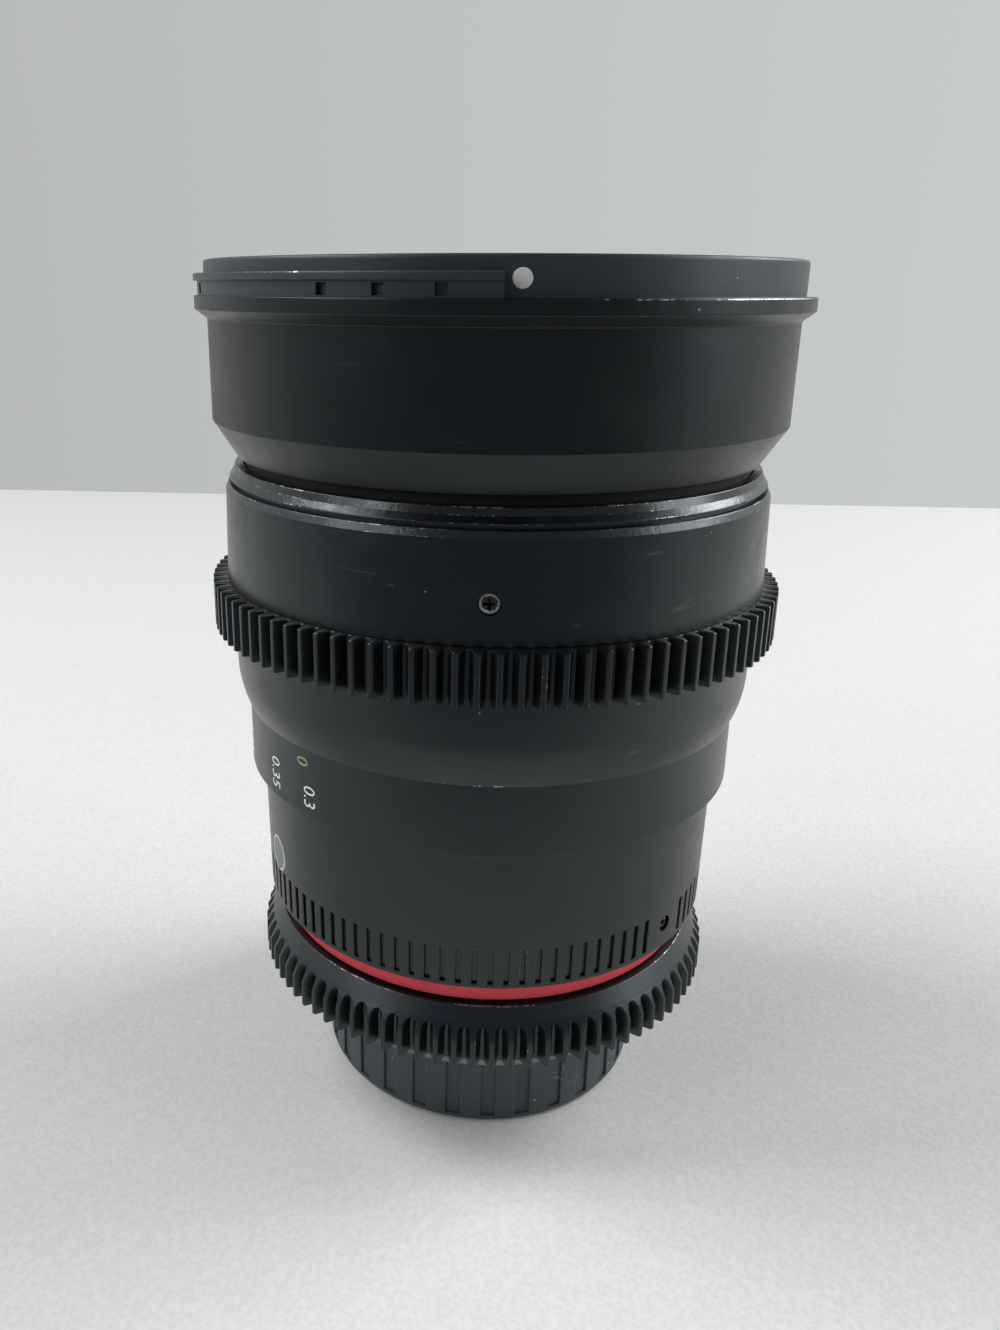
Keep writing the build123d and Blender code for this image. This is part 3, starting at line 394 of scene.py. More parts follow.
def rounded(corners, steps=3, hold=0.12 * MM):
    """A closed outline with rounded corners from (radius, height, fillet, wear) corners."""
    outline = []
    count = len(corners)
    for index, (radius, level, fillet, wear) in enumerate(corners):
        here = Vector((radius, level))
        if fillet == 0:
            outline.append((radius, level, wear))
            continue
        back = Vector(corners[index - 1][:2]) - here
        ahead = Vector(corners[(index + 1) % count][:2]) - here
        half = back.angle(ahead) / 2
        room = 0.45 * min(back.length, ahead.length)
        run = min(fillet / math.tan(half), room)
        start = here + back.normalized() * run
        end = here + ahead.normalized() * run
        if back.length > 2 * (run + hold):
            outline.append((*(start + back.normalized() * hold), 0.0))
        for step in range(steps + 1):
            t = step / steps
            point = start * (1 - t) ** 2 + here * 2 * t * (1 - t) + end * t**2
            outline.append((*point, wear))
        if ahead.length > 2 * (run + hold):
            outline.append((*(end + ahead.normalized() * hold), 0.0))
    return outline


def turned(name, outline, azimuths=None, relief=None, spread=None):
    """A mesh turned about the optical axis from a closed (radius, height, wear) outline."""
    if azimuths is None:
        azimuths = [TAU * step / COLUMNS for step in range(COLUMNS)]
    rows = len(outline)
    points, wear, faces = [], [], []
    for column, azimuth in enumerate(azimuths):
        for row, (radius, level, worn) in enumerate(outline):
            drop, extra = relief(row, column) if relief else (0.0, 0.0)
            points.append(on_side(azimuth, radius - drop, level))
            wear.append(max(worn, extra))
    columns = len(azimuths)
    closed = spread is None
    for column in range(columns if closed else columns - 1):
        following = (column + 1) % columns
        for row in range(rows):
            up = (row + 1) % rows
            faces.append((column * rows + row, following * rows + row,
                          following * rows + up, column * rows + up))
    if not closed:
        faces.append(tuple(range(rows)))
        faces.append(tuple(range((columns - 1) * rows, columns * rows)))
    return mesh_from(name, points, faces, wear)


def rub(mesh, azimuth, half, gain):
    """Raises the wear of the sharpest edges near an azimuth."""
    values = mesh.attributes[EDGE].data
    for vertex in mesh.vertices:
        turn = math.atan2(vertex.co.x, -vertex.co.y)
        near = 1 - abs(wrap(turn - azimuth)) / half
        if near > 0 and values[vertex.index].value == 1.0:
            values[vertex.index].value += gain * near


def arc_piece(name, outline, azimuth, spread, step=math.radians(1.5)):
    """A part of a turned ring with flat ends."""
    count = max(2, round(spread / step))
    azimuths = [azimuth - spread / 2 + spread * index / count for index in range(count + 1)]
    return turned(name, outline, azimuths, spread=spread)


def refined(azimuths, centres, half, count):
    """Azimuths with finer steps near some centres."""
    kept = [a for a in azimuths if all(abs(wrap(a - c)) > half for c in centres)]
    for centre in centres:
        kept += [centre - half + 2 * half * index / count for index in range(count + 1)]
    return sorted(a % TAU for a in kept)


def wrap(turn):
    """An angle brought between minus and plus half a turn."""
    return (turn + math.pi) % TAU - math.pi


def cut(name, mesh, cutters):
    """A mesh with other meshes cut out of it."""
    target = linked(name, mesh)
    tools = [linked(name + "_cutter", cutter) for cutter in cutters]
    for tool in tools:
        modifier = target.modifiers.new("Cut", "BOOLEAN")
        modifier.operation = "DIFFERENCE"
        modifier.solver = "EXACT"
        modifier.object = tool
    result = evaluated_mesh(target)
    result.name = name
    for spare in [target, *tools]:
        bpy.data.objects.remove(spare)
    return finish_mesh(result)


def side_matrix(azimuth, radius, level):
    """A frame on the side of the lens: local X along the azimuth, Y up, Z outwards."""
    out = on_side(azimuth, 1.0, 0.0)
    along = Vector((math.cos(azimuth), math.sin(azimuth), 0.0))
    up = Vector((0.0, 0.0, 1.0))
    matrix = Matrix((along, up, out)).transposed().to_4x4()
    matrix.translation = on_side(azimuth, radius, level)
    return matrix


def skin(name, rings, place, spokes):
    """A closed skin over (radius, height, wear) rings; a ring of no radius is one point."""
    points, wear, faces, starts = [], [], [], []
    counts = [spokes if radius else 1 for radius, level, worn in rings]
    for (radius, level, worn), count in zip(rings, counts):
        starts.append(len(points))
        for spoke in range(count):
            turn = TAU * spoke / spokes
            points.append(place(radius * math.cos(turn), radius * math.sin(turn), level))
            wear.append(worn)
    for ring in range(len(rings) - 1):
        low, high = starts[ring], starts[ring + 1]
        for spoke in range(spokes):
            ahead = (spoke + 1) % spokes
            if counts[ring] == 1:
                faces.append((low, high + spoke, high + ahead))
            elif counts[ring + 1] == 1:
                faces.append((low + spoke, low + ahead, high))
            else:
                faces.append((low + spoke, low + ahead, high + ahead, high + spoke))
    return mesh_from(name, points, faces, wear)


def post(name, profile, matrix, spokes=48):
    """A round solid on its own axis from (radius, height, wear) points, axis ends included."""
    return skin(name, profile, lambda x, y, z: matrix @ Vector((x, y, z)), spokes)


def well(place, radius, depth):
    """A round cutter that goes to a depth under the surface."""
    return post("Well", [(0, -depth, 0), (radius, -depth, 0), (radius, CUT_PAST, 0),
                         (0, CUT_PAST, 0)], place)


def prism(name, outline, low, high, matrix, taper=1.0):
    """A straight solid over a flat outline; taper narrows its low end."""
    count = len(outline)
    points = [matrix @ Vector((x * taper, y * taper, low)) for x, y in outline]
    points += [matrix @ Vector((x, y, high)) for x, y in outline]
    faces = [tuple(range(count)), tuple(range(count, 2 * count))]
    for index in range(count):
        ahead = (index + 1) % count
        faces.append((index, ahead, count + ahead, count + index))
    return mesh_from(name, points, faces, [0.0] * len(points))


def cross_outline(arm, half):
    """The outline of a cross recess."""
    quarter = [(arm, -half), (arm, half), (half, half)]
    outline = []
    for turn in range(4):
        c, s = (1, 0, -1, 0)[turn], (0, 1, 0, -1)[turn]
        outline += [(x * c - y * s, x * s + y * c) for x, y in quarter]
    return outline


def cross_screw(name, radius, matrix, length, dome=0.12 * MM):
    """A cross-head screw with a worn, slightly domed rim."""
    profile = [
        (0, -length, 0),
        (radius, -length, 0),
        (radius, -dome, 0.6),
        (radius * 0.94, -dome * 0.25, 1.0),
        (radius * 0.8, 0, 0.9),
        (radius * 0.55, 0.02 * MM, 0.35),
        (0, 0.03 * MM, 0.0),
    ]
    head = post(name, profile, matrix)
    outline = cross_outline(radius * 0.56, radius * 0.15)
    recess = prism(name, outline, -radius * 0.8, SCREW_CUT_PAST, matrix, taper=0.55)
    pit = post(
        name,
        [(0, -radius * 0.55, 0), (radius * 0.18, -radius * 0.45, 0),
         (radius * 0.3, SCREW_CUT_PAST, 0), (0, SCREW_CUT_PAST, 0)],
        matrix,
        spokes=16,
    )
    return cut(name, head, [recess, pit])


def hex_screw(name, radius, matrix, length):
    """A set screw with a hexagon socket and a bevelled rim."""
    profile = [
        (0, -length, 0),
        (radius, -length, 0),
        (radius, -0.15 * MM, 0.2),
        (radius * 0.82, 0, 0.5),
        (radius * 0.6, 0, 0.1),
        (0, 0, 0),
    ]
    head = post(name, profile, matrix, spokes=36)
    side = radius * 0.5
    outline = [(side * math.cos(TAU * k / 6), side * math.sin(TAU * k / 6)) for k in range(6)]
    return cut(name, head, [prism(name, outline, -radius * 0.9, SCREW_CUT_PAST, matrix)])


def tooth_outline(teeth, module, dedendum, slope, inset):
    """Points round a straight-cut gear, pulled in by a small inset, as (radius, azimuth, wear)."""
    tip = module * (teeth + 2) / 2 - inset
    root = module * (teeth - 2 * dedendum) / 2 - inset
    tip_half = (module * (math.pi / 4 - slope) - inset) / tip
    root_half = (module * (math.pi / 4 + dedendum * slope) - inset) / root
    corner = 0.12 * MM
    outline = []
    for tooth in range(teeth):
        middle = TAU * tooth / teeth
        near = root_half - corner / root * 0.6
        half = [
            (root, -root_half - corner / root, 0.0),
            (root + corner * 0.7, -near, 0.0),
            (tip - corner, -tip_half - corner * slope / tip, 0.0),
            (tip - corner * 0.3, -tip_half + corner * 0.35 / tip, 1.0),
            (tip, -tip_half + corner / tip, 0.5),
        ]
        mirrored = [(r, -turn, worn) for r, turn, worn in reversed(half)]
        outline += [(r, middle + turn, worn) for r, turn, worn in half + mirrored]
    return outline


def gear(name, teeth, turn, bore, layers, settings):
    """A straight-cut gear ring from (height, inset, gap width share, largest radius) layers."""
    slope = math.tan(settings.pressure_angle)
    points, wear, faces = [], [], []
    for level, inset, opening, limit in layers:
        outline = tooth_outline(teeth, settings.module, settings.dedendum, slope, inset)
        count = len(outline)
        for index, (radius, azimuth, worn) in enumerate(outline):
            middle = TAU * (index * teeth // count) / teeth
            offset = azimuth - middle
            gap = math.pi / teeth - abs(offset)
            offset = math.copysign(math.pi / teeth - gap * opening, offset)
            radius = limit if opening == 0 else min(radius, limit)
            points.append(on_side(middle + offset + turn, radius, level))
            wear.append(worn if inset == 0 else max(worn, 0.7))
    for level in (layers[-1][0], layers[0][0]):
        for radius, azimuth, worn in outline:
            points.append(on_side(azimuth + turn, bore, level))
            wear.append(0.0)
    order = list(range(len(layers) + 2))
    for layer, following in zip(order, order[1:] + order[:1]):
        for index in range(count):
            ahead = (index + 1) % count
            faces.append((
                layer * count + index, layer * count + ahead,
                following * count + ahead, following * count + index,
            ))
    return mesh_from(name, points, faces, wear)


def slots_between(centres, width, radius, edge=0.1 * MM, wall=0.015 * MM, plain=None):
    """Azimuths for a ring with slots, and for each one its share of the slot's depth and wear."""
    columns = []
    half = width / 2 / radius
    for centre in centres:
        columns += [
            (centre - half - 3 * edge / radius, 0.0, 0.0),
            (centre - half - edge / radius, 0.0, 0.8),
            (centre - half, 0.16, 1.0),
            (centre - half + wall / radius, 1.0, 0.0),
            (centre + half - wall / radius, 1.0, 0.0),
            (centre + half, 0.16, 1.0),
            (centre + half + edge / radius, 0.0, 0.8),
            (centre + half + 3 * edge / radius, 0.0, 0.0),
        ]
    for azimuth in plain or ():
        columns.append((azimuth, 0.0, 0.0))
    columns = [(azimuth % TAU, deep, worn) for azimuth, deep, worn in columns]
    return sorted(columns)


def with_rows(outline, levels):
    """An outline with extra points on its outermost side, each (height, share of depth)."""
    result, shares = [], []
    count = len(outline)
    widest = max(range(count), key=lambda i: min(outline[i][0], outline[(i + 1) % count][0])
                 * (abs(outline[i][1] - outline[(i + 1) % count][1]) > SIDE_LEAST))
    for index, (radius, level, worn) in enumerate(outline):
        result.append((radius, level, worn))
        shares.append(0.0)
        if index != widest:
            continue
        end_radius, end_level, _ = outline[(index + 1) % count]
        ordered = sorted(levels, reverse=end_level < level)
        for row_level, row_share in ordered:
            t = (row_level - level) / (end_level - level)
            result.append((radius + (end_radius - radius) * t, row_level, 0.0))
            shares.append(row_share)
    return result, shares


def slot_rows(low, high, edge=0.1 * MM, wall=0.015 * MM):
    """Heights of the rows that end a slot, with their share of its depth."""
    return [
        (low - 3 * edge, 0.0), (low - edge, 0.0), (low, 0.16), (low + wall, 1.0),
        (high - wall, 1.0), (high, 0.16), (high + edge, 0.0), (high + 3 * edge, 0.0),
    ]


def slotted(name, outline, centres, width, depth, low, high, plain=None):
    """A turned ring with upright slots cut in its outer side."""
    widest = max(point[0] for point in outline)
    columns = slots_between(centres, width, widest, plain=plain)
    rows, shares = with_rows(outline, slot_rows(low, high))

    def relief(row, column):
        _, deep, worn = columns[column]
        share_here = min(shares[row], deep)
        rim = worn if 0 < shares[row] else 0.0
        if 0 < shares[row] < 1 and deep > 0:
            rim = 1.0
        return depth * share_here, rim

    return turned(name, rows, [azimuth for azimuth, deep, worn in columns], relief)


def text_mesh(name, words, size, stretch, thinning):
    """A thin flat mesh of some words, its last letter ending at the origin's x."""
    curve = bpy.data.curves.new(name, "FONT")
    curve.body = words
    curve.size = size
    curve.align_x = "RIGHT"
    curve.align_y = "CENTER"
    curve.resolution_u = 6
    curve.extrude = LETTER_THICKNESS
    curve.offset = -thinning
    flat = linked(name, curve)
    mesh = evaluated_mesh(flat)
    bpy.data.objects.remove(flat)
    bpy.data.curves.remove(curve)
    for vertex in mesh.vertices:
        vertex.co.x *= stretch
    return mesh


def wrap_on_side(mesh, azimuth, radius, level, ceiling):
    """Wraps a flat mesh on the side of the lens, reading downwards, and cuts it at a ceiling."""
    for vertex in mesh.vertices:
        x, y, z = vertex.co
        vertex.co = on_side(azimuth + y / radius, radius + z, level - x)
    shape = bmesh.new()
    shape.from_mesh(mesh)
    bmesh.ops.remove_doubles(shape, verts=shape.verts, dist=WELD_DISTANCE)
    parts = shape.verts[:] + shape.edges[:] + shape.faces[:]
    cut_parts = bmesh.ops.bisect_plane(
        shape, geom=parts, plane_co=(0, 0, ceiling), plane_no=(0, 0, 1), clear_outer=True
    )["geom_cut"]
    rims = [part for part in cut_parts if isinstance(part, bmesh.types.BMEdge)]
    bmesh.ops.holes_fill(shape, edges=[rim for rim in rims if rim.is_boundary], sides=0)
    shape.to_mesh(mesh)
    shape.free()
    return mesh


def join_meshes(name, meshes):
    """One mesh from several."""
    shape = bmesh.new()
    for mesh in meshes:
        shape.from_mesh(mesh)
    joined = bpy.data.meshes.new(name)
    shape.to_mesh(joined)
    shape.free()
    return joined


def mark_disc(name, azimuth, radius, level, size, thickness=0.03 * MM, spokes=48):
    """A thin round mark that follows the side of the lens."""
    rings = [(size * part, rise, 1.0 if part > 0.85 else 0.0) for part, rise in (
        (0.0, thickness), (0.8, thickness), (0.86, thickness), (0.96, thickness), (1.0, 0.0),
        (1.0, -2 * thickness), (0.0, -2 * thickness),
    )]
    return skin(name, rings, lambda x, y, z: on_side(azimuth + x / radius, radius + z, level + y),
                spokes)


def mark_line(name, azimuth, radius, low, high, width, thickness=0.03 * MM):
    """A thin upright line that follows the side of the lens."""
    outline = [
        (radius - thickness, low, 0.0), (radius + thickness, low, 0.0),
        (radius + thickness, high, 0.0), (radius - thickness, high, 0.0),
    ]
    return arc_piece(name, outline, azimuth, width / radius)


def lens_surface(radius, level, sag, count=20):
    """Points on a spherical lens surface from the axis to its edge."""
    ball = (radius**2 + sag**2) / (2 * abs(sag))
    side = math.copysign(1, sag)
    points = []
    for step in range(count + 1):
        reach_here = radius * step / count
        drop = ball - math.sqrt(ball**2 - reach_here**2)
        points.append((reach_here, level + sag - side * drop, 0.0))
    return points


def lens_mesh(name, radius, edge_z, edge, rear_sag, front_sag):
    """A smooth lens element."""
    rear = lens_surface(radius, edge_z, rear_sag)
    front = lens_surface(radius, edge_z + edge, front_sag)
    return post(name, rear + front[::-1], Matrix.Identity(4), spokes=128)


def add(tree, kind, inputs=None, **settings):
    """A shader node with its settings and inputs; an input may be another node's output."""
    node = tree.nodes.new(kind)
    for key, value in settings.items():
        setattr(node, key, value)
    for key, value in (inputs or {}).items():
        socket = node.inputs[key]
        if isinstance(value, bpy.types.NodeSocket):
            tree.links.new(value, socket)
        else:
            socket.default_value = value
    return node


def mix_colour(tree, mask, low, high):
    """Low colour where the mask is nought, high colour where it is one."""
    return add(tree, "ShaderNodeMix", {0: mask, 6: low, 7: high}, data_type="RGBA").outputs[2]


def mix_value(tree, mask, low, high):
    """Low value where the mask is nought, high value where it is one."""
    return add(tree, "ShaderNodeMix", {0: mask, 2: low, 3: high}, data_type="FLOAT").outputs[0]


def calculate(tree, operation, first, second, clamp=True):
    """The result of an operation on two values, held between nought and one where clamped."""
    node = add(tree, "ShaderNodeMath", {0: first, 1: second}, operation=operation, use_clamp=clamp)
    return node.outputs[0]


def remap(tree, value, low, high, to_low=0.0, to_high=1.0, smooth=False):
    """A value brought from one range to another and held inside it."""
    inputs = {"Value": value, "From Min": low, "From Max": high, "To Min": to_low,
              "To Max": to_high}
    kind = "SMOOTHSTEP" if smooth else "LINEAR"
    return add(tree, "ShaderNodeMapRange", inputs, interpolation_type=kind).outputs[0]


def noise(tree, place, scale, detail, **more):
    """Noise at a place on the object."""
    inputs = {"Vector": place, "Scale": scale, "Detail": detail, **more}
    return add(tree, "ShaderNodeTexNoise", inputs).outputs[0]


def relief(tree, shader, grain, strength, depth):
    """Raises the surface by a grain's height."""
    bump = add(tree, "ShaderNodeBump", {"Height": grain, "Strength": strength, "Distance": depth})
    tree.links.new(bump.outputs[0], shader.inputs["Normal"])


def object_place(tree):
    """The place on the object."""
    return add(tree, "ShaderNodeTexCoord").outputs["Object"]


def rgba(value, gain=1.0):
    """A colour with its alpha, made darker or lighter by a gain."""
    return (*(gain * channel for channel in value), 1.0)


def new_material(name):
    """A material with its node tree and its shader."""
    material = bpy.data.materials.new(name)
    material.use_nodes = True
    return material, material.node_tree, material.node_tree.nodes["Principled BSDF"]


def built_once(name, inputs, outputs):
    """Makes a function fill a shader node group with float sockets, once, and then hand it out."""
    def wrapped(fill):
        def give():
            if name in bpy.data.node_groups:
                return bpy.data.node_groups[name]
            tree = bpy.data.node_groups.new(name, "ShaderNodeTree")
            for label, default in inputs.items():
                socket = tree.interface.new_socket(label, in_out="INPUT",
                                                   socket_type="NodeSocketFloat")
                socket.default_value = default
            for label in outputs:
                tree.interface.new_socket(label, in_out="OUTPUT", socket_type="NodeSocketFloat")
            source, sink = tree.nodes.new("NodeGroupInput"), tree.nodes.new("NodeGroupOutput")
            for label, result in zip(outputs, fill(tree, source.outputs, object_place(tree))):
                tree.links.new(result, sink.inputs[label])
            return tree
        return give
    return wrapped


@built_once("Surface grain", {"Scale": 2600.0, "Cloud scale": 60.0}, ["Height", "Cloud"])
def grain_group(tree, source, place):
    """Fine blasted or moulded grain: a height and a slow cloudy variation."""
    return (noise(tree, place, source["Scale"], 3.0, Roughness=0.6),
            noise(tree, place, source["Cloud scale"], 4.0, Roughness=0.6))


@built_once("Edge wear", {"Amount": 0.4, "Patch scale": 90.0, "Chip scale": 1500.0}, ["Mask"])
def wear_group(tree, source, place):
    """Wear along edges: broken up by noise and stronger where the edge attribute is high."""
    edge = add(tree, "ShaderNodeAttribute", attribute_name=EDGE).outputs["Fac"]
    patch = noise(tree, place, source["Patch scale"], 3.0)
    chip = noise(tree, place, source["Chip scale"], 5.0, Roughness=0.75)
    broken = calculate(tree, "ADD", patch, chip, clamp=False)
    drive = calculate(tree, "MULTIPLY", source["Amount"], edge, clamp=False)
    level = remap(tree, drive, 0.0, 1.0, 1.45, 0.65)
    above = calculate(tree, "SUBTRACT", broken, level, clamp=False)
    crisp = calculate(tree, "MULTIPLY", above, 9.0)
    near = calculate(tree, "MULTIPLY", edge, 4.0)
    return (calculate(tree, "MULTIPLY", crisp, near),)


@built_once("Dust and scuffs", {"Specks": 0.2, "Scuffs": 0.2, "Speck scale": 420.0},
            ["Mask", "Smudge"])
def dust_group(tree, source, place):
    """Dust specks, faint scuffs and handling marks."""
    cells = add(tree, "ShaderNodeTexVoronoi", {
        "Vector": place, "Scale": source["Speck scale"], "Randomness": 1.0,
    })
    rare = add(tree, "ShaderNodeSeparateColor", {0: cells.outputs["Color"]})
    size = calculate(tree, "MULTIPLY", rare.outputs[0], 0.09)
    chosen = calculate(tree, "LESS_THAN", rare.outputs[1], source["Specks"])
    near = calculate(tree, "LESS_THAN", cells.outputs["Distance"], size)
    speck = calculate(tree, "MULTIPLY", chosen, near)
    stretch = add(tree, "ShaderNodeMapping", {
        "Vector": place, "Scale": (160.0, 160.0, 900.0), "Rotation": (0.5, 0.7, 0.2),
    })
    scratch = noise(tree, stretch.outputs[0], 1.0, 2.0, Distortion=0.6)
    scuff = calculate(tree, "MULTIPLY", remap(tree, scratch, 0.70, 0.76), source["Scuffs"])
    slow = noise(tree, place, 110.0, 5.0, Roughness=0.65)
    return calculate(tree, "ADD", speck, scuff), remap(tree, slow, 0.5, 0.75)


def placed(tree, group, **values):
    """A shader node group in a material, with its own values."""
    node = add(tree, "ShaderNodeGroup", node_tree=group)
    for label, value in values.items():
        node.inputs[label.replace("_", " ")].default_value = value
    return node.outputs


def coated(name, colour_value, roughness, specular=0.5, grain=2600.0, bump=0.15, wear=0.0,
           specks=0.15, scuffs=0.15, smudge=0.12, metallic=0.0, patch=90.0, worn_roughness=0.32,
           variation=0.25, tint=(1.0, 1.0, 1.0)):
    """A finish with grain, worn edges, dust and handling marks."""
    if name in bpy.data.materials:
        return bpy.data.materials[name]
    colours = bpy.context.scene.lens_finish
    material, tree, shader = new_material(name)
    grains = placed(tree, grain_group(), Scale=grain)
    dust = placed(tree, dust_group(), Specks=specks, Scuffs=scuffs)
    light = tuple(min(1.0, channel * (1 + variation)) for channel in colour_value)
    base = mix_colour(tree, grains["Cloud"], rgba(colour_value, 1 - variation), rgba(light))
    base = mix_colour(tree, dust["Mask"], base, rgba(colours.dust))
    rough = mix_value(tree, grains["Cloud"], roughness - 0.04, roughness + 0.04)
    rough = calculate(tree, "ADD", rough, calculate(tree, "MULTIPLY", dust["Smudge"], smudge))
    shader.inputs["Metallic"].default_value = metallic
    shader.inputs["Specular IOR Level"].default_value = specular
    shader.inputs["Specular Tint"].default_value = rgba(tint)
    if wear > 0:
        worn = placed(tree, wear_group(), Amount=wear, Patch_scale=patch)["Mask"]
        base = mix_colour(tree, worn, base, rgba(colours.bare_metal))
        rough = mix_value(tree, worn, rough, worn_roughness)
        tree.links.new(mix_value(tree, worn, metallic, 1.0), shader.inputs["Metallic"])
    tree.links.new(base, shader.inputs["Base Color"])
    tree.links.new(rough, shader.inputs["Roughness"])
    relief(tree, shader, grains["Height"], bump, BUMP_DEPTH)
    return material


# Each finish: its colour in the finish settings, its roughness, and what else it needs.
FINISHES = {
    # Blasted black anodising of the front barrel.
    "Barrel_black": ("barrel_black", 0.34, dict(
        specular=0.46, bump=0.20, wear=0.34, specks=0.05, scuffs=0.04, patch=55.0, tint=COOL)),
    # Lighter black on the front rim and the hood lips: painted light for the light the rim
    # catches.
    "Rim_black": ("rim_black", 0.42, dict(
        specular=0.5, bump=0.12, wear=0.34, specks=0.12, scuffs=0.10, patch=70.0, tint=COOL)),
    # Blasted black anodising of the focus ring.
    "Focus_black": ("focus_black", 0.32, dict(
        specular=0.58, bump=0.20, wear=0.34, specks=0.05, scuffs=0.10, patch=70.0, tint=COOL)),
    # Bevel rubbed through to dark, mottled metal.
    "Rubbed_bevel": ("rubbed_metal", 0.26, dict(
        specular=0.8, bump=0.9, grain=1500.0, wear=0.44, specks=0.2, scuffs=0.3, variation=0.6,
        patch=220.0, smudge=0.3, tint=COOL)),
    # Satin black of the scale ring and the rear barrel.
    "Rear_black": ("rear_black", 0.34, dict(
        specular=0.55, bump=0.08, wear=0.32, specks=0.04, scuffs=0.03, tint=COOL)),
    # Satin black of the iris collar, worn bright along its upper edge.
    "Collar_black": ("rear_black", 0.36, dict(
        specular=0.65, bump=0.06, wear=0.42, specks=0.05, scuffs=0.05, patch=60.0, tint=COOL)),
    # Glossy black enamel, chipped and rubbed along its bevels.
    "Trim_gloss": ("gloss_black", 0.22, dict(
        specular=0.7, bump=0.8, wear=0.43, specks=0.2, scuffs=0.2, smudge=0.25, patch=120.0,
        grain=1300.0, tint=COOL)),
    # Moulded black plastic of the gear rings.
    "Gear_plastic": ("gear_black", 0.32, dict(
        specular=0.55, bump=0.06, wear=0.36, specks=0.05, scuffs=0.04, tint=COOL)),
    # Moulded, scuffed plastic of the rear cap.
    "Cap_plastic": ("cap_black", 0.46, dict(
        specular=0.5, bump=0.12, specks=0.25, scuffs=0.45, smudge=0.2, tint=COOL)),
    # Red anodising of the accent ring.
    "Red_anodised": ("red", 0.42, dict(
        specular=0.4, bump=0.05, specks=0.02, scuffs=0.02, variation=0.08)),
    # Matt black paint inside the barrels.
    "Inner_black": ("inner_black", 0.65, dict(specular=0.3, bump=0.2, specks=0.03, scuffs=0.0)),
    # Blackened steel of the screws, bright where it has worn.
    "Dark_steel": ("dark_steel", 0.42, dict(
        wear=1.05, bump=0.2, specks=0.1, scuffs=0.1, worn_roughness=0.45, patch=400.0)),
    # Bright machined steel of the mount and keys.
    "Mount_steel": ("mount_metal", 0.34, dict(
        metallic=1.0, bump=0.06, specks=0.02, scuffs=0.1, grain=1400.0)),
    # Turned brass.
    "Turned_brass": ("brass", 0.32, dict(
        metallic=1.0, bump=0.06, specks=0.0, scuffs=0.08, grain=1400.0)),
    # Matt black coating of the iris blades.
    "Blade_coating": ("inner_black", 0.52, dict(
        specular=0.5, bump=0.05, specks=0.0, scuffs=0.25, variation=0.1)),
    # Satin plate of the bare badge.
    "Badge_satin": ("badge", 0.42, dict(
        wear=0.85, bump=0.05, specks=0.1, scuffs=0.3, variation=0.3, patch=200.0)),
}
# Opaque paint with slight mottling.
PAINT = dict(specular=0.4, bump=0.15, grain=1800.0, specks=0.25, scuffs=0.0, smudge=0.1,
             variation=0.06)
FINISHES["White_numerals"] = ("white_paint", 0.5, PAINT)
FINISHES["Lime_numerals"] = ("lime_paint", 0.5, PAINT)
FINISHES["White_dot_paint"] = ("dot_paint", 0.5, PAINT)


def finish(name):
    """The finish of that name."""
    if name == "Coated_glass":
        return glass_finish(name)
    base, roughness, values = FINISHES[name]
    return coated(name, getattr(bpy.context.scene.lens_finish, base), roughness, **values)


def glass_finish(name):
    """Coated optical glass."""
    if name in bpy.data.materials:
        return bpy.data.materials[name]
    material, tree, shader = new_material(name)
    shader.inputs["Metallic"].default_value = 0.0
    shader.inputs["Transmission Weight"].default_value = 1.0
    shader.inputs["IOR"].default_value = 1.52
    shader.inputs["Specular Tint"].default_value = (0.62, 0.50, 1.0, 1.0)
    dust = placed(tree, dust_group(), Specks=0.05, Scuffs=0.0)
    base = mix_colour(tree, dust["Mask"], (0.90, 0.95, 0.93, 1.0), (0.55, 0.56, 0.56, 1.0))
    tree.links.new(base, shader.inputs["Base Color"])
    tree.links.new(mix_value(tree, dust["Smudge"], 0.0, 0.02), shader.inputs["Roughness"])
    return material


def table_finish():
    """Pale table covering with a fine leathery grain; painted shade greys its front slightly."""
    table = bpy.context.scene.lens_stage.table_colour
    material, tree, shader = new_material("Table_cover")
    place = object_place(tree)
    along = add(tree, "ShaderNodeSeparateXYZ", {0: place}).outputs["Y"]
    # Painted shade: the table colour is 3% darker in front of a noisy line across it.
    shade_border = add(tree, "ShaderNodeMath", {0: noise(tree, place, 14.0, 2.0), 1: 0.03, 2: along},
               operation="MULTIPLY_ADD").outputs[0]
    painted_shade_and_grain = mix_colour(tree, remap(tree, shade_border, 0.012, 0.062, smooth=True), rgba(table, 0.97),
                      rgba(table))
    grain = add(tree, "ShaderNodeTexVoronoi", {"Vector": place, "Scale": 1500.0,
                                               "Randomness": 1.0}, feature="SMOOTH_F1")
    fine = calculate(tree, "MULTIPLY", noise(tree, place, 2600.0, 3.0), 0.5)
    grains = calculate(tree, "ADD", grain.outputs["Distance"], fine)
    fleck = remap(tree, grains, 0.25, 0.95, 0.93, 1.04)
    painted_shade_and_grain = add(tree, "ShaderNodeVectorMath", {0: painted_shade_and_grain, 1: fleck}, operation="MULTIPLY").outputs[0]
    tree.links.new(painted_shade_and_grain, shader.inputs["Base Color"])
    shader.inputs["Roughness"].default_value = 0.55
    shader.inputs["Specular IOR Level"].default_value = 0.25
    relief(tree, shader, grains, 0.25, TABLE_BUMP_DEPTH)
    return material


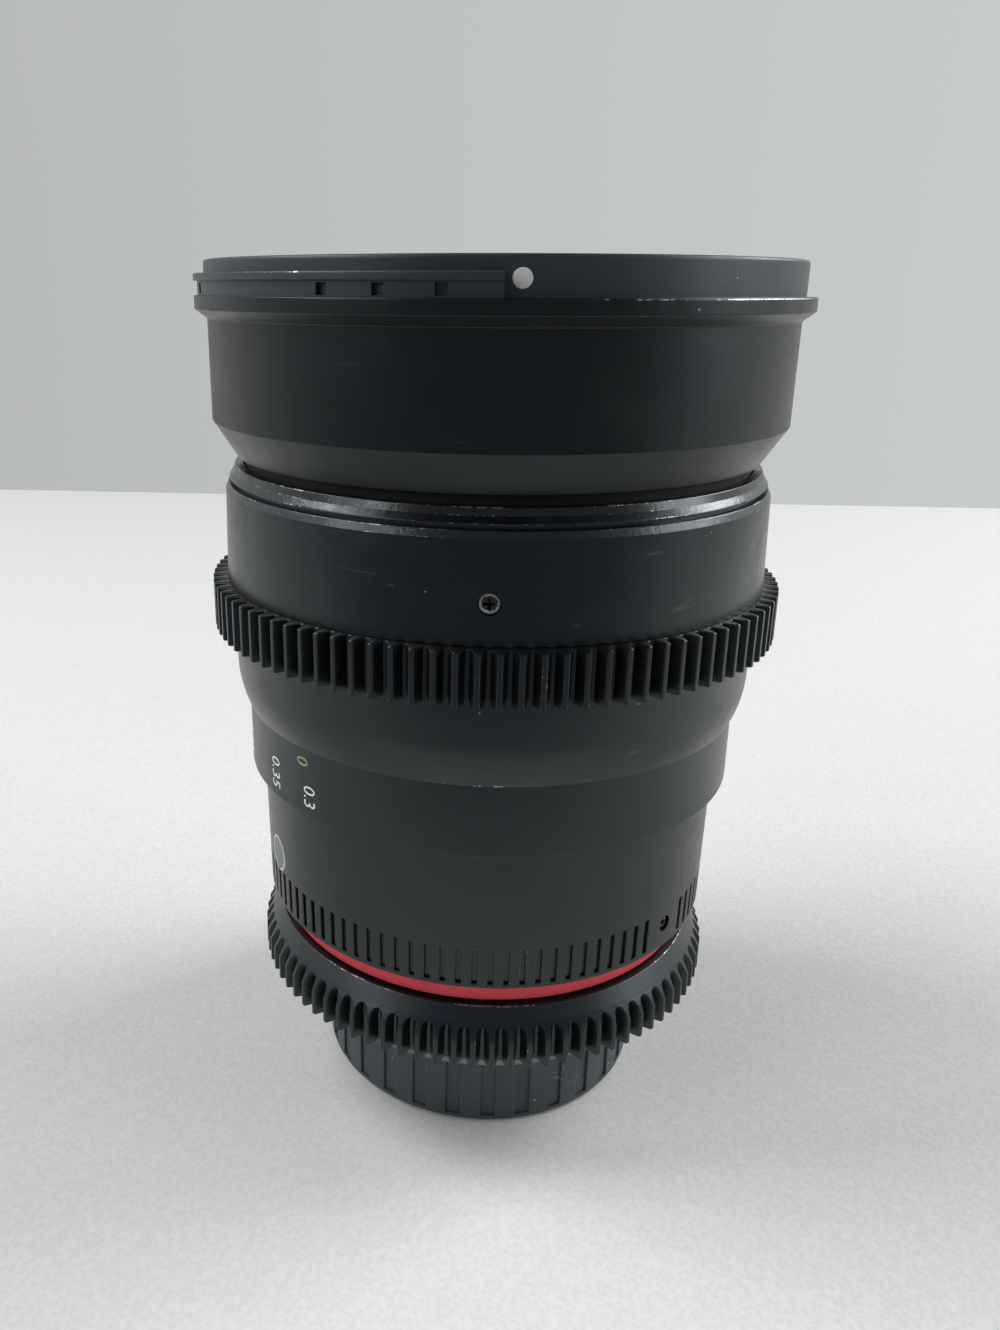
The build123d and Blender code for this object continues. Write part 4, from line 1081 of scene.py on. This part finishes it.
class LENS_OT_stage(bpy.types.Operator):
    """Build the table, the soft light and the camera"""

    bl_idname = "lens.stage"
    bl_label = "Stage"

    TABLE_EDGE, TABLE_THICKNESS, TABLE_LEAN = 12 * MM, 40 * MM, 0.004
    AIM = Vector((0.0, 0.0, 0.06))
    LAMPS = (
        ("Light_left", (-0.80, 0.05, 1.00), 0.6, 9.4, (0.97, 0.99, 1.0)),
        ("Light_right", (0.95, 0.40, 0.75), 0.6, 9.8, (0.98, 0.99, 1.0)),
        ("Light_left_low", (-0.85, -0.58, 0.55), 0.45, 2.2, (1.0, 1.0, 1.0)),
        ("Light_right_low", (0.95, -0.12, 0.40), 0.45, 2.4, (1.0, 1.0, 1.0)),
    )

    def execute(self, context):
        scene = context.scene
        stage = scene.lens_stage
        self.add_camera(scene, stage)
        self.add_surfaces(stage)
        self.add_lights()
        self.add_world(scene, stage)
        scene.view_settings.view_transform = "Standard"
        return {"FINISHED"}

    def add_camera(self, scene, stage):
        """The camera at the photograph's angle, in a frame of 1000 by 1330 pixels."""
        data = bpy.data.cameras.new("Camera")
        data.sensor_width = 36.0
        data.lens = stage.focal_pixels * data.sensor_width / FRAME_HEIGHT
        data.shift_x = (FRAME_WIDTH / 2 - stage.centre_x) / FRAME_HEIGHT
        data.shift_y = (stage.centre_y - FRAME_HEIGHT / 2) / FRAME_HEIGHT
        data.clip_start = 0.005
        data.clip_end = 20.0
        yaw, pitch, roll = stage.camera_yaw, stage.camera_pitch, stage.camera_roll
        forward = Vector((math.sin(yaw) * math.cos(pitch), math.cos(yaw) * math.cos(pitch),
                          -math.sin(pitch)))
        level = Vector((math.cos(yaw), -math.sin(yaw), 0.0))
        rise = level.cross(forward)
        right = math.cos(roll) * level + math.sin(roll) * rise
        up = -math.sin(roll) * level + math.cos(roll) * rise
        matrix = Matrix((right, up, -forward)).transposed().to_4x4()
        matrix.translation = Vector((0.0, -stage.camera_distance, stage.camera_height))
        camera = linked("Camera", data)
        camera.matrix_world = matrix
        scene.camera = camera

    def add_surfaces(self, stage):
        """The table with a rounded back edge."""
        half = stage.table_width / 2
        edge = self.TABLE_EDGE
        section = [(-stage.table_front, 0.0)]
        steps = 8
        for step in range(steps + 1):
            turn = math.pi / 2 * step / steps
            section.append((stage.table_back - edge + edge * math.sin(turn),
                            edge * math.cos(turn) - edge))
        section += [(stage.table_back, -self.TABLE_THICKNESS),
                    (-stage.table_front, -self.TABLE_THICKNESS)]
        count = len(section)
        points = [(side * half, y + side * half * self.TABLE_LEAN, z)
                  for side in (-1, 1) for y, z in section]
        faces = [tuple(range(count)), tuple(range(count, 2 * count))]
        faces += [(k, (k + 1) % count, count + (k + 1) % count, count + k) for k in range(count)]
        table = linked("Table", mesh_from("Table", points, faces, [0.0] * 2 * count))
        table.data.materials.append(table_finish())

    def add_lights(self):
        """Soft lamps at both sides, high and low."""
        for name, place, size, power, tint in self.LAMPS:
            data = bpy.data.lights.new(name, "AREA")
            data.shape = "SQUARE"
            data.size = size
            data.energy = power
            data.color = tint
            lamp = linked(name, data)
            lamp.location = place
            aim = self.AIM - Vector(place)
            lamp.rotation_euler = aim.to_track_quat("-Z", "Y").to_euler()

    def add_world(self, scene, stage):
        """A world pale behind and at both sides and grey in front, the same for every ray."""
        world = bpy.data.worlds.new("Studio")
        scene.world = world
        world.use_nodes = True
        tree = world.node_tree
        ground = tree.nodes["Background"].inputs
        place = add(tree, "ShaderNodeTexCoord").outputs["Generated"]
        across, along, rise = add(tree, "ShaderNodeSeparateXYZ", {0: place}).outputs
        behind = remap(tree, along, -0.75, 0.25, smooth=True)
        above = remap(tree, rise, -0.34, -0.18, 0.62, 1.0)
        crown = remap(tree, rise, 0.35, 0.80, 1.0, 0.08, smooth=True)
        amount = calculate(tree, "MULTIPLY", behind, above)
        amount = calculate(tree, "MULTIPLY", amount, crown)
        wall = mix_colour(tree, remap(tree, across, -0.57, 0.46), rgba(stage.wall_colour, 0.88),
                          rgba(stage.wall_colour, 1.12))
        aside = remap(tree, calculate(tree, "ABSOLUTE", across, 0.0), 0.55, 0.85, smooth=True)
        wall = mix_colour(tree, aside, wall, rgba(stage.side_colour))
        front = mix_colour(tree, crown, rgba(stage.roof_colour), rgba(stage.front_colour))
        tree.links.new(mix_colour(tree, amount, front, wall), ground["Color"])
        ground["Strength"].default_value = 1.0


class LENS_OT_front_barrel(bpy.types.Operator):
    """Build the front barrel with its hood bayonet, filter thread and index dot"""

    bl_idname = "lens.front_barrel"
    bl_label = "Front barrel"

    POCKETS = ((-67.0, 2.4), (-27.6, 1), (-17.9, 1), (-8.2, 1))
    POCKET_PAST, LIP_BITE, WEB_SINK, WEB_RISE = 3 * MM, 1 * MM, 0.5 * MM, 0.3 * MM
    RIM_START, RIM_PAST, RIM_DEPTH = 0.05 * MM, 0.1 * MM, 0.8 * MM

    def execute(self, context):
        s = context.scene.lens_front
        low, high = bottom("front_barrel"), top("front_barrel")
        flange = reach("front_barrel")
        barrel_z = low + s.cone_height
        barrel_top = barrel_z + s.barrel_height
        flange_z = barrel_top + s.flange_bevel
        rim_z = flange_z + s.flange_height
        shoulder_z = low + s.seat_height
        thread_z = high - s.thread_length
        fine = 0.2 * MM
        corners = [
            (s.tube_radius, low, 0, 0),
            (s.cone_radius, low, fine, 0.2),
            (s.barrel_radius, barrel_z, SOFT_EDGE, 0.3),
            (s.barrel_radius, barrel_top, fine, 0.0),
            (flange, flange_z, fine, 0.5),
            (flange, rim_z, FINE_EDGE, 1.0),
            (s.rim_radius, rim_z, CRISP_EDGE, 0.0),
            (s.rim_radius, high, BROAD_EDGE, 0.7),
            (s.thread_radius, high, SOFT_EDGE, 0.5),
        ]
        ridges = int(s.thread_length / s.thread_pitch)
        for ridge in range(ridges):
            level = high - s.thread_pitch * (ridge + 0.9)
            corners += [
                (s.thread_radius, level + s.thread_pitch * 0.44, 0, 0.0),
                (s.thread_radius - s.thread_depth, level + s.thread_pitch * 0.08, 0, 0.5),
                (s.thread_radius - s.thread_depth, level - s.thread_pitch * 0.08, 0, 0.5),
            ]
        corners += [
            (s.thread_radius, thread_z, 0, 0.0),
            (s.bore, thread_z, 0, 0.0),
            (s.bore, shoulder_z + s.shoulder_height, 0, 0.0),
            (s.shoulder_bore, shoulder_z + s.shoulder_height, 0, 0.0),
            (s.shoulder_bore, shoulder_z, 0, 0.0),
            (s.tube_radius, shoulder_z, 0, 0.0),
        ]
        mesh = turned("Front_barrel_shell", rounded(corners))
        rub(mesh, s.rubbed_azimuth, s.rubbed_spread / 2, 1.0)
        middle = rim_z + s.groove / 2
        half_w, half_h = s.pocket_width / 2, s.pocket_height / 2
        square = [(-half_w, -half_h), (half_w, -half_h), (half_w, half_h), (-half_w, half_h)]
        pockets = [
            prism("Pocket", square, -depth * s.pocket_depth, self.POCKET_PAST,
                  side_matrix(math.radians(azimuth), s.web_radius, middle))
            for azimuth, depth in self.POCKETS
        ]
        mesh = cut("Front_barrel_shell", mesh, pockets)
        shell = add_piece(
            "Front_barrel_shell", mesh, "Barrel_black", "main_barrel",
            ("front_barrel",), weighted=True
        )
        # The rim gets the lighter Rim_black, which is painted light.
        refinish(shell, "Rim_black", rim_z + self.RIM_START, high + self.RIM_PAST,
                 s.rim_radius - self.RIM_DEPTH)
        self.add_lips(s, rim_z, flange, pockets)
        dot = mark_disc("Index_dot", s.dot_azimuth, s.rim_radius, s.dot_height, s.dot_radius)
        add_piece("Index_dot", dot, "White_dot_paint", "main_barrel")
        return {"FINISHED"}

    def add_lips(self, s, rim_z, flange, pockets):
        """The two partial hood lips with the web and the pockets between them and the flange."""
        inner = s.rim_radius - self.LIP_BITE
        lip_z = rim_z + s.groove
        lip_top = lip_z + s.lip_height
        lip_outline = rounded([
            (inner, lip_z, 0, 0.0),
            (flange, lip_z, FINE_EDGE, 0.5),
            (flange, lip_top, LIP_EDGE, 1.0),
            (inner, lip_top, 0, 0.0),
        ])
        web_outline = rounded([
            (inner, rim_z - self.WEB_SINK, 0, 0.0),
            (s.web_radius, rim_z - self.WEB_SINK, 0, 0.0),
            (s.web_radius, lip_z + self.WEB_RISE, 0, 0.0),
            (inner, lip_z + self.WEB_RISE, 0, 0.0),
        ])
        for side, cutters in ((0, pockets), (1, [])):
            azimuth = s.lip_azimuth + side * math.pi
            lip = arc_piece(f"Hood_lip_{side + 1}", lip_outline, azimuth, s.lip_spread)
            rub(lip, s.chip_azimuth, s.chip_spread / 2, 0.9)
            add_piece(
                f"Hood_lip_{side + 1}", lip, "Rim_black", "main_barrel",
                weighted=True
            )
            web = arc_piece(f"Hood_web_{side + 1}", web_outline, azimuth, s.lip_spread)
            if cutters:
                web = cut(f"Hood_web_{side + 1}", web, cutters)
            add_piece(f"Hood_web_{side + 1}", web, "Rim_black", "main_barrel")


class LENS_OT_front_optics(bpy.types.Operator):
    """Build the blank trim cone and the lens elements"""

    bl_idname = "lens.front_optics"
    bl_label = "Optics"

    START_DROP, STEP_LIP = 0.3 * MM, 0.08 * MM

    def execute(self, context):
        s = context.scene.lens_front
        low, high = bottom("front_trim_ring"), top("front_trim_ring")
        inner = reach("front_element")
        mouth = s.bore - s.trim_wall
        outline = [(inner, low, 0.0), (s.bore, low, 0.0), (s.bore, high, 0.0), (mouth, high, 0.3)]
        start = Vector((mouth, high - self.START_DROP))
        end = Vector((inner, low + s.trim_step))
        for ridge in range(s.ridge_count):
            t = ridge / s.ridge_count
            after = (ridge + 1) / s.ridge_count
            here, following = start.lerp(end, t), start.lerp(end, after)
            outline.append((here.x, here.y, 0.3))
            outline.append((here.x, following.y + self.STEP_LIP, 0.0))
        outline.append((end.x, end.y, 0.0))
        mesh = turned("Trim_cone", outline)
        add_piece(
            "Trim_cone", mesh, "Inner_black", "main_barrel", ("front_trim_ring",)
        )
        for node, body, edge, rear_sag, front_sag in (
            ("front_element", "main_barrel", 3.5, 5.5, 5.0),
            ("second_element", "main_barrel", 3.5, 1.25, 2.5),
            ("third_element", "lens_carriage", 3.0, 3.0, 3.0),
            ("fourth_element", "lens_carriage", 2.5, -1.8, 1.8),
            ("fifth_element", "lens_carriage", 3.5, 1.5, -1.5),
            ("rear_element", "lens_carriage", 3.0, 1.6, 1.6),
        ):
            low = bottom(node) - min(0.0, rear_sag) * MM
            if node == "rear_element":
                low = bottom(node)
            mesh = lens_mesh(f"Glass_{node}", reach(node), low, edge * MM, rear_sag * MM,
                             front_sag * MM)
            add_piece(f"Glass_{node}", mesh, "Coated_glass", body, (node,))
        return {"FINISHED"}


class LENS_OT_focus_ring(bpy.types.Operator):
    """Build the focus ring, its trim ring and its screws"""

    bl_idname = "lens.focus_ring"
    bl_label = "Focus ring"

    def execute(self, context):
        s = context.scene.lens_focus
        low, high = bottom("focus_ring"), top("focus_ring")
        gear_low, gear_high = bottom("focus_gear"), top("focus_gear")
        inset = s.skirt_radius - s.edge_radius
        ball = (s.round_height**2 + inset**2) / (2 * inset)
        full = math.asin(s.round_height / ball)
        steps = 10
        corners = [(s.bore, low, 0, 0.0)]
        for step in range(steps + 1):
            turn = full * (1 - step / steps)
            radius = s.skirt_radius - ball * (1 - math.cos(turn))
            level = low + s.round_height - ball * math.sin(turn)
            corners.append((radius, level, 0, 0.8 if step == 0 else 0))
        corners += [
            (s.rear_radius, gear_low, 0, 0.0),
            (s.seat_radius, gear_low, 0, 0.0),
            (s.seat_radius, gear_high, 0, 0.0),
            (s.shoulder_radius, gear_high, CRISP_EDGE, 0.5),
            (s.radius, high - s.bevel, FINE_EDGE, 0.9),
            (s.radius - s.bevel_depth, high, CRISP_EDGE, 1.0),
            (s.bore, high, 0, 0.0),
        ]
        screws = [TAU * index / s.screw_count for index in range(s.screw_count)]
        level = low + s.screw_lift
        plain = [TAU * step / COLUMNS for step in range(COLUMNS)]
        azimuths = refined(plain, screws, math.radians(2.6), 14)
        ring = turned("Focus_ring_body", rounded(corners), azimuths)
        wells = [well(side_matrix(azimuth, s.radius, level), s.screw_radius, s.well_depth)
                 for azimuth in screws]
        ring = cut("Focus_ring_body", ring, wells)
        body = add_piece(
            "Focus_ring_body", ring, "Focus_black", "focus_unit", ("focus_ring",),
            weighted=True
        )
        refinish(body, "Rubbed_bevel", high - s.bevel, high, s.radius - 1.5 * s.bevel_depth)
        for index, azimuth in enumerate(screws):
            place = side_matrix(azimuth, s.radius - s.screw_sink, level)
            head = cross_screw("Focus_screw", s.screw_radius - s.screw_gap, place, s.screw_length)
            add_piece(
                f"Focus_screw_{index + 1}", head, "Dark_steel", "focus_unit",
                ("focus_screws",) if index == 0 else ()
            )
        self.add_trim(s)
        return {"FINISHED"}

    def add_trim(self, s):
        """The bevelled trim ring on the focus ring's front edge."""
        low, high = bottom("focus_trim_ring"), top("focus_trim_ring")
        shoulder = low + s.trim_neck_height
        corners = [
            (s.bore, low, 0, 0.0),
            (s.trim_neck, low, 0, 0.0),
            (s.trim_neck, shoulder, 0, 0.0),
            (s.trim_radius, shoulder, KEEN_EDGE, 0.9),
            (s.trim_radius - s.trim_bevel_depth, shoulder + s.trim_bevel, CRISP_EDGE, 0.9),
            (s.trim_lip, high, FINE_EDGE, 1.0),
            (s.bore, high, CRISP_EDGE, 0.4),
        ]
        mesh = turned("Focus_trim", rounded(corners))
        add_piece(
            "Focus_trim", mesh, "Trim_gloss", "focus_unit", ("focus_trim_ring",),
            weighted=True
        )


class LENS_OT_gears(bpy.types.Operator):
    """Build the focus gear and the iris gear"""

    bl_idname = "lens.gears"
    bl_label = "Gears"

    def execute(self, context):
        s = context.scene.lens_gears
        seat = context.scene.lens_focus.seat_radius
        low, high = bottom("focus_gear"), top("focus_gear")
        free = reach("focus_gear")
        layers = [(low, s.bevel, 1, free), (low + s.bevel, 0, 1, free),
                  (high - s.bevel, 0, 1, free), (high, s.bevel, 1, free)]
        mesh = gear("Focus_gear_teeth", s.focus_teeth, s.focus_azimuth, seat, layers, s)
        add_piece(
            "Focus_gear_teeth", mesh, "Gear_plastic", "focus_unit",
            ("focus_gear",), weighted=True
        )
        mesh = gear("Iris_gear_teeth", s.iris_teeth, s.iris_azimuth, s.iris_bore,
                    self.iris_layers(context), s)
        add_piece(
            "Iris_gear_teeth", mesh, "Gear_plastic", "iris_unit", ("iris_gear",),
            weighted=True
        )
        return {"FINISHED"}

    def iris_layers(self, context):
        """Layers of the iris gear, whose teeth run out into a cone with rounded gap ends."""
        s = context.scene.lens_gears
        low, high = bottom("iris_gear"), top("iris_gear")
        wide, narrow = reach("iris_gear"), context.scene.lens_iris.collar_radius
        foot = high - s.cone_height

        def cone(level):
            return wide + (narrow - wide) * max(0.0, level - foot) / s.cone_height

        layers = [(low, s.bevel, 1, wide), (low + s.bevel, 0, 1, wide), (foot, 0, 1, wide)]
        start = high - s.gap_end - s.gap_round
        for turn in (0, 20, 38, 54, 68, 80):
            level = start + s.gap_round * math.sin(math.radians(turn))
            layers.append((level, 0, math.cos(math.radians(turn)), cone(level)))
        layers += [(high - s.gap_end, 0, 0, cone(high - s.gap_end)), (high, 0, 0, narrow)]
        return layers


class LENS_OT_scale_ring(bpy.types.Operator):
    """Build the distance scale ring with its two rows of numerals"""

    bl_idname = "lens.scale_ring"
    bl_label = "Scale ring"

    EDGE_MARGIN = 0.05 * MM
    METRES = ((0.3, "0.3"), (0.35, "0.35"), (0.45, "0.45"), (0.6, "0.6"), (0.8, "0.8"),
              (1.2, "1.2"), (2.0, "2"), (5.0, "5"), (math.inf, "∞"))
    FEET = ((1.0, "1.0"), (1.5, "1.5"), (2.0, "2"), (3.0, "3"), (4.0, "4"), (7.0, "7"),
            (15.0, "15"), (math.inf, "∞"))
    METRES_PER_FOOT = 0.3048

    def execute(self, context):
        s = context.scene.lens_scale
        low, high = bottom("scale_ring"), top("scale_ring")
        radius = reach("scale_ring")
        corners = [
            (s.bore, low, 0, 0.0),
            (radius, low, SMALL_EDGE, 0.5),
            (radius, high, 0, 0.0),
            (s.bore, high, 0, 0.0),
        ]
        mesh = turned("Scale_ring_body", rounded(corners))
        add_piece(
            "Scale_ring_body", mesh, "Rear_black", "focus_unit", ("scale_ring",),
            weighted=True
        )
        rows = (
            ("Metre_numerals", self.METRES, 1.0, s.metre_foot, 0.0, "White_numerals"),
            ("Foot_numerals", self.FEET, self.METRES_PER_FOOT, s.foot_foot, s.foot_turn,
             "Lime_numerals"),
        )
        for name, labels, unit, foot, shift, paint in rows:
            glyphs = []
            for distance, words in labels:
                turn = math.radians(s.curve_constant / (distance * unit + s.curve_offset))
                flat = text_mesh(name, words, s.digit_size, s.digit_stretch, s.digit_thinning)
                hidden = s.covered if "." in words else self.EDGE_MARGIN
                glyphs.append(wrap_on_side(flat, s.infinity_azimuth + turn + shift, radius, foot,
                                           high - hidden))
            piece = join_meshes(name, glyphs)
            add_piece(name, piece, paint, "focus_unit")
        return {"FINISHED"}


class LENS_OT_rear_barrel(bpy.types.Operator):
    """Build the ribbed rear barrel, its set screw, bare badge and red ring"""

    bl_idname = "lens.rear_barrel"
    bl_label = "Rear barrel"

    LINK_PAST = 1 * MM
    INDEX_HEIGHT, INDEX_WIDTH = 4.2 * MM, 0.5 * MM
    MARK_HEIGHT, MARK_WIDTH = 2.0 * MM, 0.28 * MM
    MARK_GAP, MARK_SINK = 0.3 * MM, 0.02 * MM
    MARK_START, MARK_PITCH = 1.5, 3.2
    PLAIN_HALF = math.radians(3.2)
    SCREW_LENGTH = 0.8 * MM

    def execute(self, context):
        s = context.scene.lens_rear
        low, high = bottom("rear_barrel"), top("rear_barrel")
        front = s.radius + s.taper
        floor_z = low + s.floor
        corners = [
            (s.neck_bore, low, 0, 0.0),
            (s.radius, low, SOFT_EDGE, 0.7),
            (front, high, SMALL_EDGE, 0.5),
            (s.tube_radius, high, 0, 0.0),
            (s.tube_radius, floor_z, 0, 0.0),
            (s.neck_bore, floor_z, 0, 0.0),
        ]
        pitch = TAU / s.rib_pitches
        after = (s.plain_pitches + 1) / 2
        centres = [s.plain_azimuth + pitch * (after + index)
                   for index in range(s.rib_pitches - s.plain_pitches)]
        half = self.PLAIN_HALF
        plain = [s.plain_azimuth - half + 2 * half * index / 16 for index in range(17)]
        slot_z = low + s.slot_lift
        ring = slotted("Rear_barrel_body", rounded(corners), centres, s.slot_width, s.slot_depth,
                       slot_z, slot_z + s.slot_height, plain)
        screw_z = low + s.screw_lift
        place = side_matrix(s.plain_azimuth, s.radius, screw_z)
        link = arc_piece("Link_slot", [
            (s.link_inner, low - self.LINK_PAST, 0), (s.link_outer, low - self.LINK_PAST, 0),
            (s.link_outer, floor_z + self.LINK_PAST, 0),
            (s.link_inner, floor_z + self.LINK_PAST, 0),
        ], s.link_azimuth, s.link_spread)
        ring = cut("Rear_barrel_body", ring, [well(place, s.well_radius, s.well_depth), link])
        add_piece(
            "Rear_barrel_body", ring, "Rear_black", "main_barrel", ("rear_barrel",),
            weighted=True
        )
        place = side_matrix(s.plain_azimuth, s.radius - s.screw_sink, screw_z)
        screw = hex_screw("Set_screw", s.screw_radius, place, self.SCREW_LENGTH)
        add_piece("Set_screw", screw, "Dark_steel", "main_barrel", ("barrel_set_screw",))
        self.add_badge(s)
        self.add_marks(context)
        self.add_red_ring(s)
        return {"FINISHED"}

    def add_badge(self, s):
        """The small badge, left bare."""
        low, high = bottom("rear_barrel"), top("rear_barrel")
        radius = s.radius + s.taper * (s.badge_height - low) / (high - low)
        mesh = mark_disc("Bare_badge", s.badge_azimuth, radius, s.badge_height, s.badge_radius,
                         thickness=0.06 * MM)
        add_piece("Bare_badge", mesh, "Badge_satin", "main_barrel")

    def add_marks(self, context):
        """The index line and its depth marks next to the distance scale."""
        s = context.scene.lens_rear
        scale = context.scene.lens_scale
        high = top("rear_barrel")
        radius = s.radius + s.taper - self.MARK_SINK
        ends = high - self.MARK_GAP
        lines = [mark_line("Mark", scale.index_azimuth, radius, high - self.INDEX_HEIGHT, ends,
                           self.INDEX_WIDTH)]
        for step in (1, 2, 3):
            for side in (-1, 1):
                offset = side * math.radians(self.MARK_PITCH * step + self.MARK_START)
                lines.append(mark_line("Mark", scale.index_azimuth + offset, radius,
                                       high - self.MARK_HEIGHT, ends, self.MARK_WIDTH))
        add_piece(
            "Index_marks", join_meshes("Index_marks", lines), "White_numerals", "main_barrel",
        )

    def add_red_ring(self, s):
        """The accent ring under the rear barrel."""
        low, high = bottom("red_ring") - s.red_lip, top("red_ring")
        mesh = turned("Accent_ring", rounded([
            (s.red_bore, low, 0, 0.0),
            (s.red_radius, low, s.red_bevel, 0.0),
            (s.red_radius, high, 0, 0.0),
            (s.red_bore, high, 0, 0.0),
        ]))
        add_piece(
            "Accent_ring", mesh, "Red_anodised", "main_barrel", ("red_ring",),
            weighted=True
        )


class LENS_OT_iris_ring(bpy.types.Operator):
    """Build the iris ring with its conical collar"""

    bl_idname = "lens.iris_ring"
    bl_label = "Iris ring"

    def execute(self, context):
        s = context.scene.lens_iris
        low, high = bottom("iris_ring"), top("iris_ring")
        collar_z = high - s.collar_height
        mesh = turned("Iris_collar", rounded([
            (s.bore, low, 0, 0.0),
            (s.seat_radius, low, 0, 0.0),
            (s.seat_radius, collar_z, 0, 0.0),
            (s.collar_radius, collar_z, 0, 0.0),
            (s.collar_radius - s.collar_taper, high, SMALL_EDGE, 1.0),
            (s.bore, high, SMALL_EDGE, 0.2),
        ]))
        add_piece(
            "Iris_collar", mesh, "Collar_black", "iris_unit", ("iris_ring",),
            weighted=True
        )
        return {"FINISHED"}


class LENS_OT_rear_cap(bpy.types.Operator):
    """Build the grooved rear cap"""

    bl_idname = "lens.rear_cap"
    bl_label = "Rear cap"

    LUG_BITE = 0.4 * MM

    def execute(self, context):
        s = context.scene.lens_cap
        low, high = bottom("rear_cap"), top("rear_cap")
        radius = reach("rear_cap")
        floor_z = low + s.floor
        tiny = 0.1 * MM
        corners = [
            (tiny, low, 0, 0.0),
            (radius - s.chamfer, low, 0, 0.2),
            (radius, low + s.chamfer, SMALL_EDGE, 0.5),
            (radius, high, ROUND_EDGE, 0.8),
            (s.bore, high, SMALL_EDGE, 0.3),
            (s.bore, floor_z, ROUND_EDGE, 0.0),
            (tiny, floor_z, 0, 0.0),
        ]
        pitch = TAU / s.groove_count
        centres = [s.groove_azimuth + pitch * index for index in range(s.groove_count)]
        plain = []
        for centre in centres:
            plain += [centre + pitch * part for part in (0.38, 0.5, 0.62)]
        mesh = slotted("Rear_cap_body", rounded(corners), centres, s.groove_width, s.groove_depth,
                       low + s.foot, high - s.lip, plain)
        add_piece(
            "Rear_cap_body", mesh, "Cap_plastic", "cap", ("rear_cap",),
            weighted=True
        )
        for lug in range(s.lug_count):
            outline = rounded([
                (s.lug_radius, s.lug_lift, CRISP_EDGE, 0.0),
                (s.bore + self.LUG_BITE, s.lug_lift, 0, 0.0),
                (s.bore + self.LUG_BITE, s.lug_lift + s.lug_height, 0, 0.0),
                (s.lug_radius, s.lug_lift + s.lug_height, CRISP_EDGE, 0.0),
            ])
            piece = arc_piece(f"Cap_lug_{lug + 1}", outline, TAU * lug / s.lug_count, s.lug_spread)
            add_piece(f"Cap_lug_{lug + 1}", piece, "Cap_plastic", "cap")
        return {"FINISHED"}


class LENS_OT_inner_parts(bpy.types.Operator):
    """Give every carried-over CAD node its finish"""

    bl_idname = "lens.inner_parts"
    bl_label = "Inner parts"

    SLOTS = {
        "black_metal": "Inner_black",
        "steel": "Mount_steel",
        "brass": "Turned_brass",
        "blade_steel": "Blade_coating",
        "glass": "Coated_glass",
        "black_plastic": "Gear_plastic",
        "red_metal": "Red_anodised",
    }

    def execute(self, context):
        slots = {part["node"]: part["material_slot"] for part in frame["record"]["subparts"]}
        for name, node in frame["nodes"].items():
            node.data.materials.clear()
            node.data.materials.append(finish(self.SLOTS[slots[name]]))
        return {"FINISHED"}


class LENS_PT_panel(bpy.types.Panel):
    """The buttons that build the lens"""

    bl_idname = "LENS_PT_panel"
    bl_label = "Cinema prime lens"
    bl_space_type = "VIEW_3D"
    bl_region_type = "UI"
    bl_category = "Lens"

    def draw(self, context):
        for operator in OPERATORS:
            self.layout.operator(operator.bl_idname)


SETTINGS = {
    "lens_finish": FinishSettings,
    "lens_stage": StageSettings,
    "lens_front": FrontSettings,
    "lens_focus": FocusSettings,
    "lens_gears": GearSettings,
    "lens_scale": ScaleSettings,
    "lens_rear": RearSettings,
    "lens_iris": IrisSettings,
    "lens_cap": CapSettings,
}
OPERATORS = (
    LENS_OT_stage,
    LENS_OT_inner_parts,
    LENS_OT_front_barrel,
    LENS_OT_front_optics,
    LENS_OT_focus_ring,
    LENS_OT_gears,
    LENS_OT_scale_ring,
    LENS_OT_rear_barrel,
    LENS_OT_iris_ring,
    LENS_OT_rear_cap,
)


def register():
    """Registers the settings, the operators and the panel."""
    for name, settings in SETTINGS.items():
        bpy.utils.register_class(settings)
        setattr(bpy.types.Scene, name, PointerProperty(type=settings))
    for operator in OPERATORS:
        bpy.utils.register_class(operator)
    bpy.utils.register_class(LENS_PT_panel)


def unregister():
    """Takes the panel, the operators and the settings away again."""
    bpy.utils.unregister_class(LENS_PT_panel)
    for operator in reversed(OPERATORS):
        bpy.utils.unregister_class(operator)
    for name, settings in reversed(SETTINGS.items()):
        delattr(bpy.types.Scene, name)
        bpy.utils.unregister_class(settings)


def main():
    """Builds every piece in order."""
    register()
    bpy.ops.lens.stage()
    bpy.ops.lens.inner_parts()
    bpy.ops.lens.front_barrel()
    bpy.ops.lens.front_optics()
    bpy.ops.lens.focus_ring()
    bpy.ops.lens.gears()
    bpy.ops.lens.scale_ring()
    bpy.ops.lens.rear_barrel()
    bpy.ops.lens.iris_ring()
    bpy.ops.lens.rear_cap()


if __name__ == "__main__":
    main()
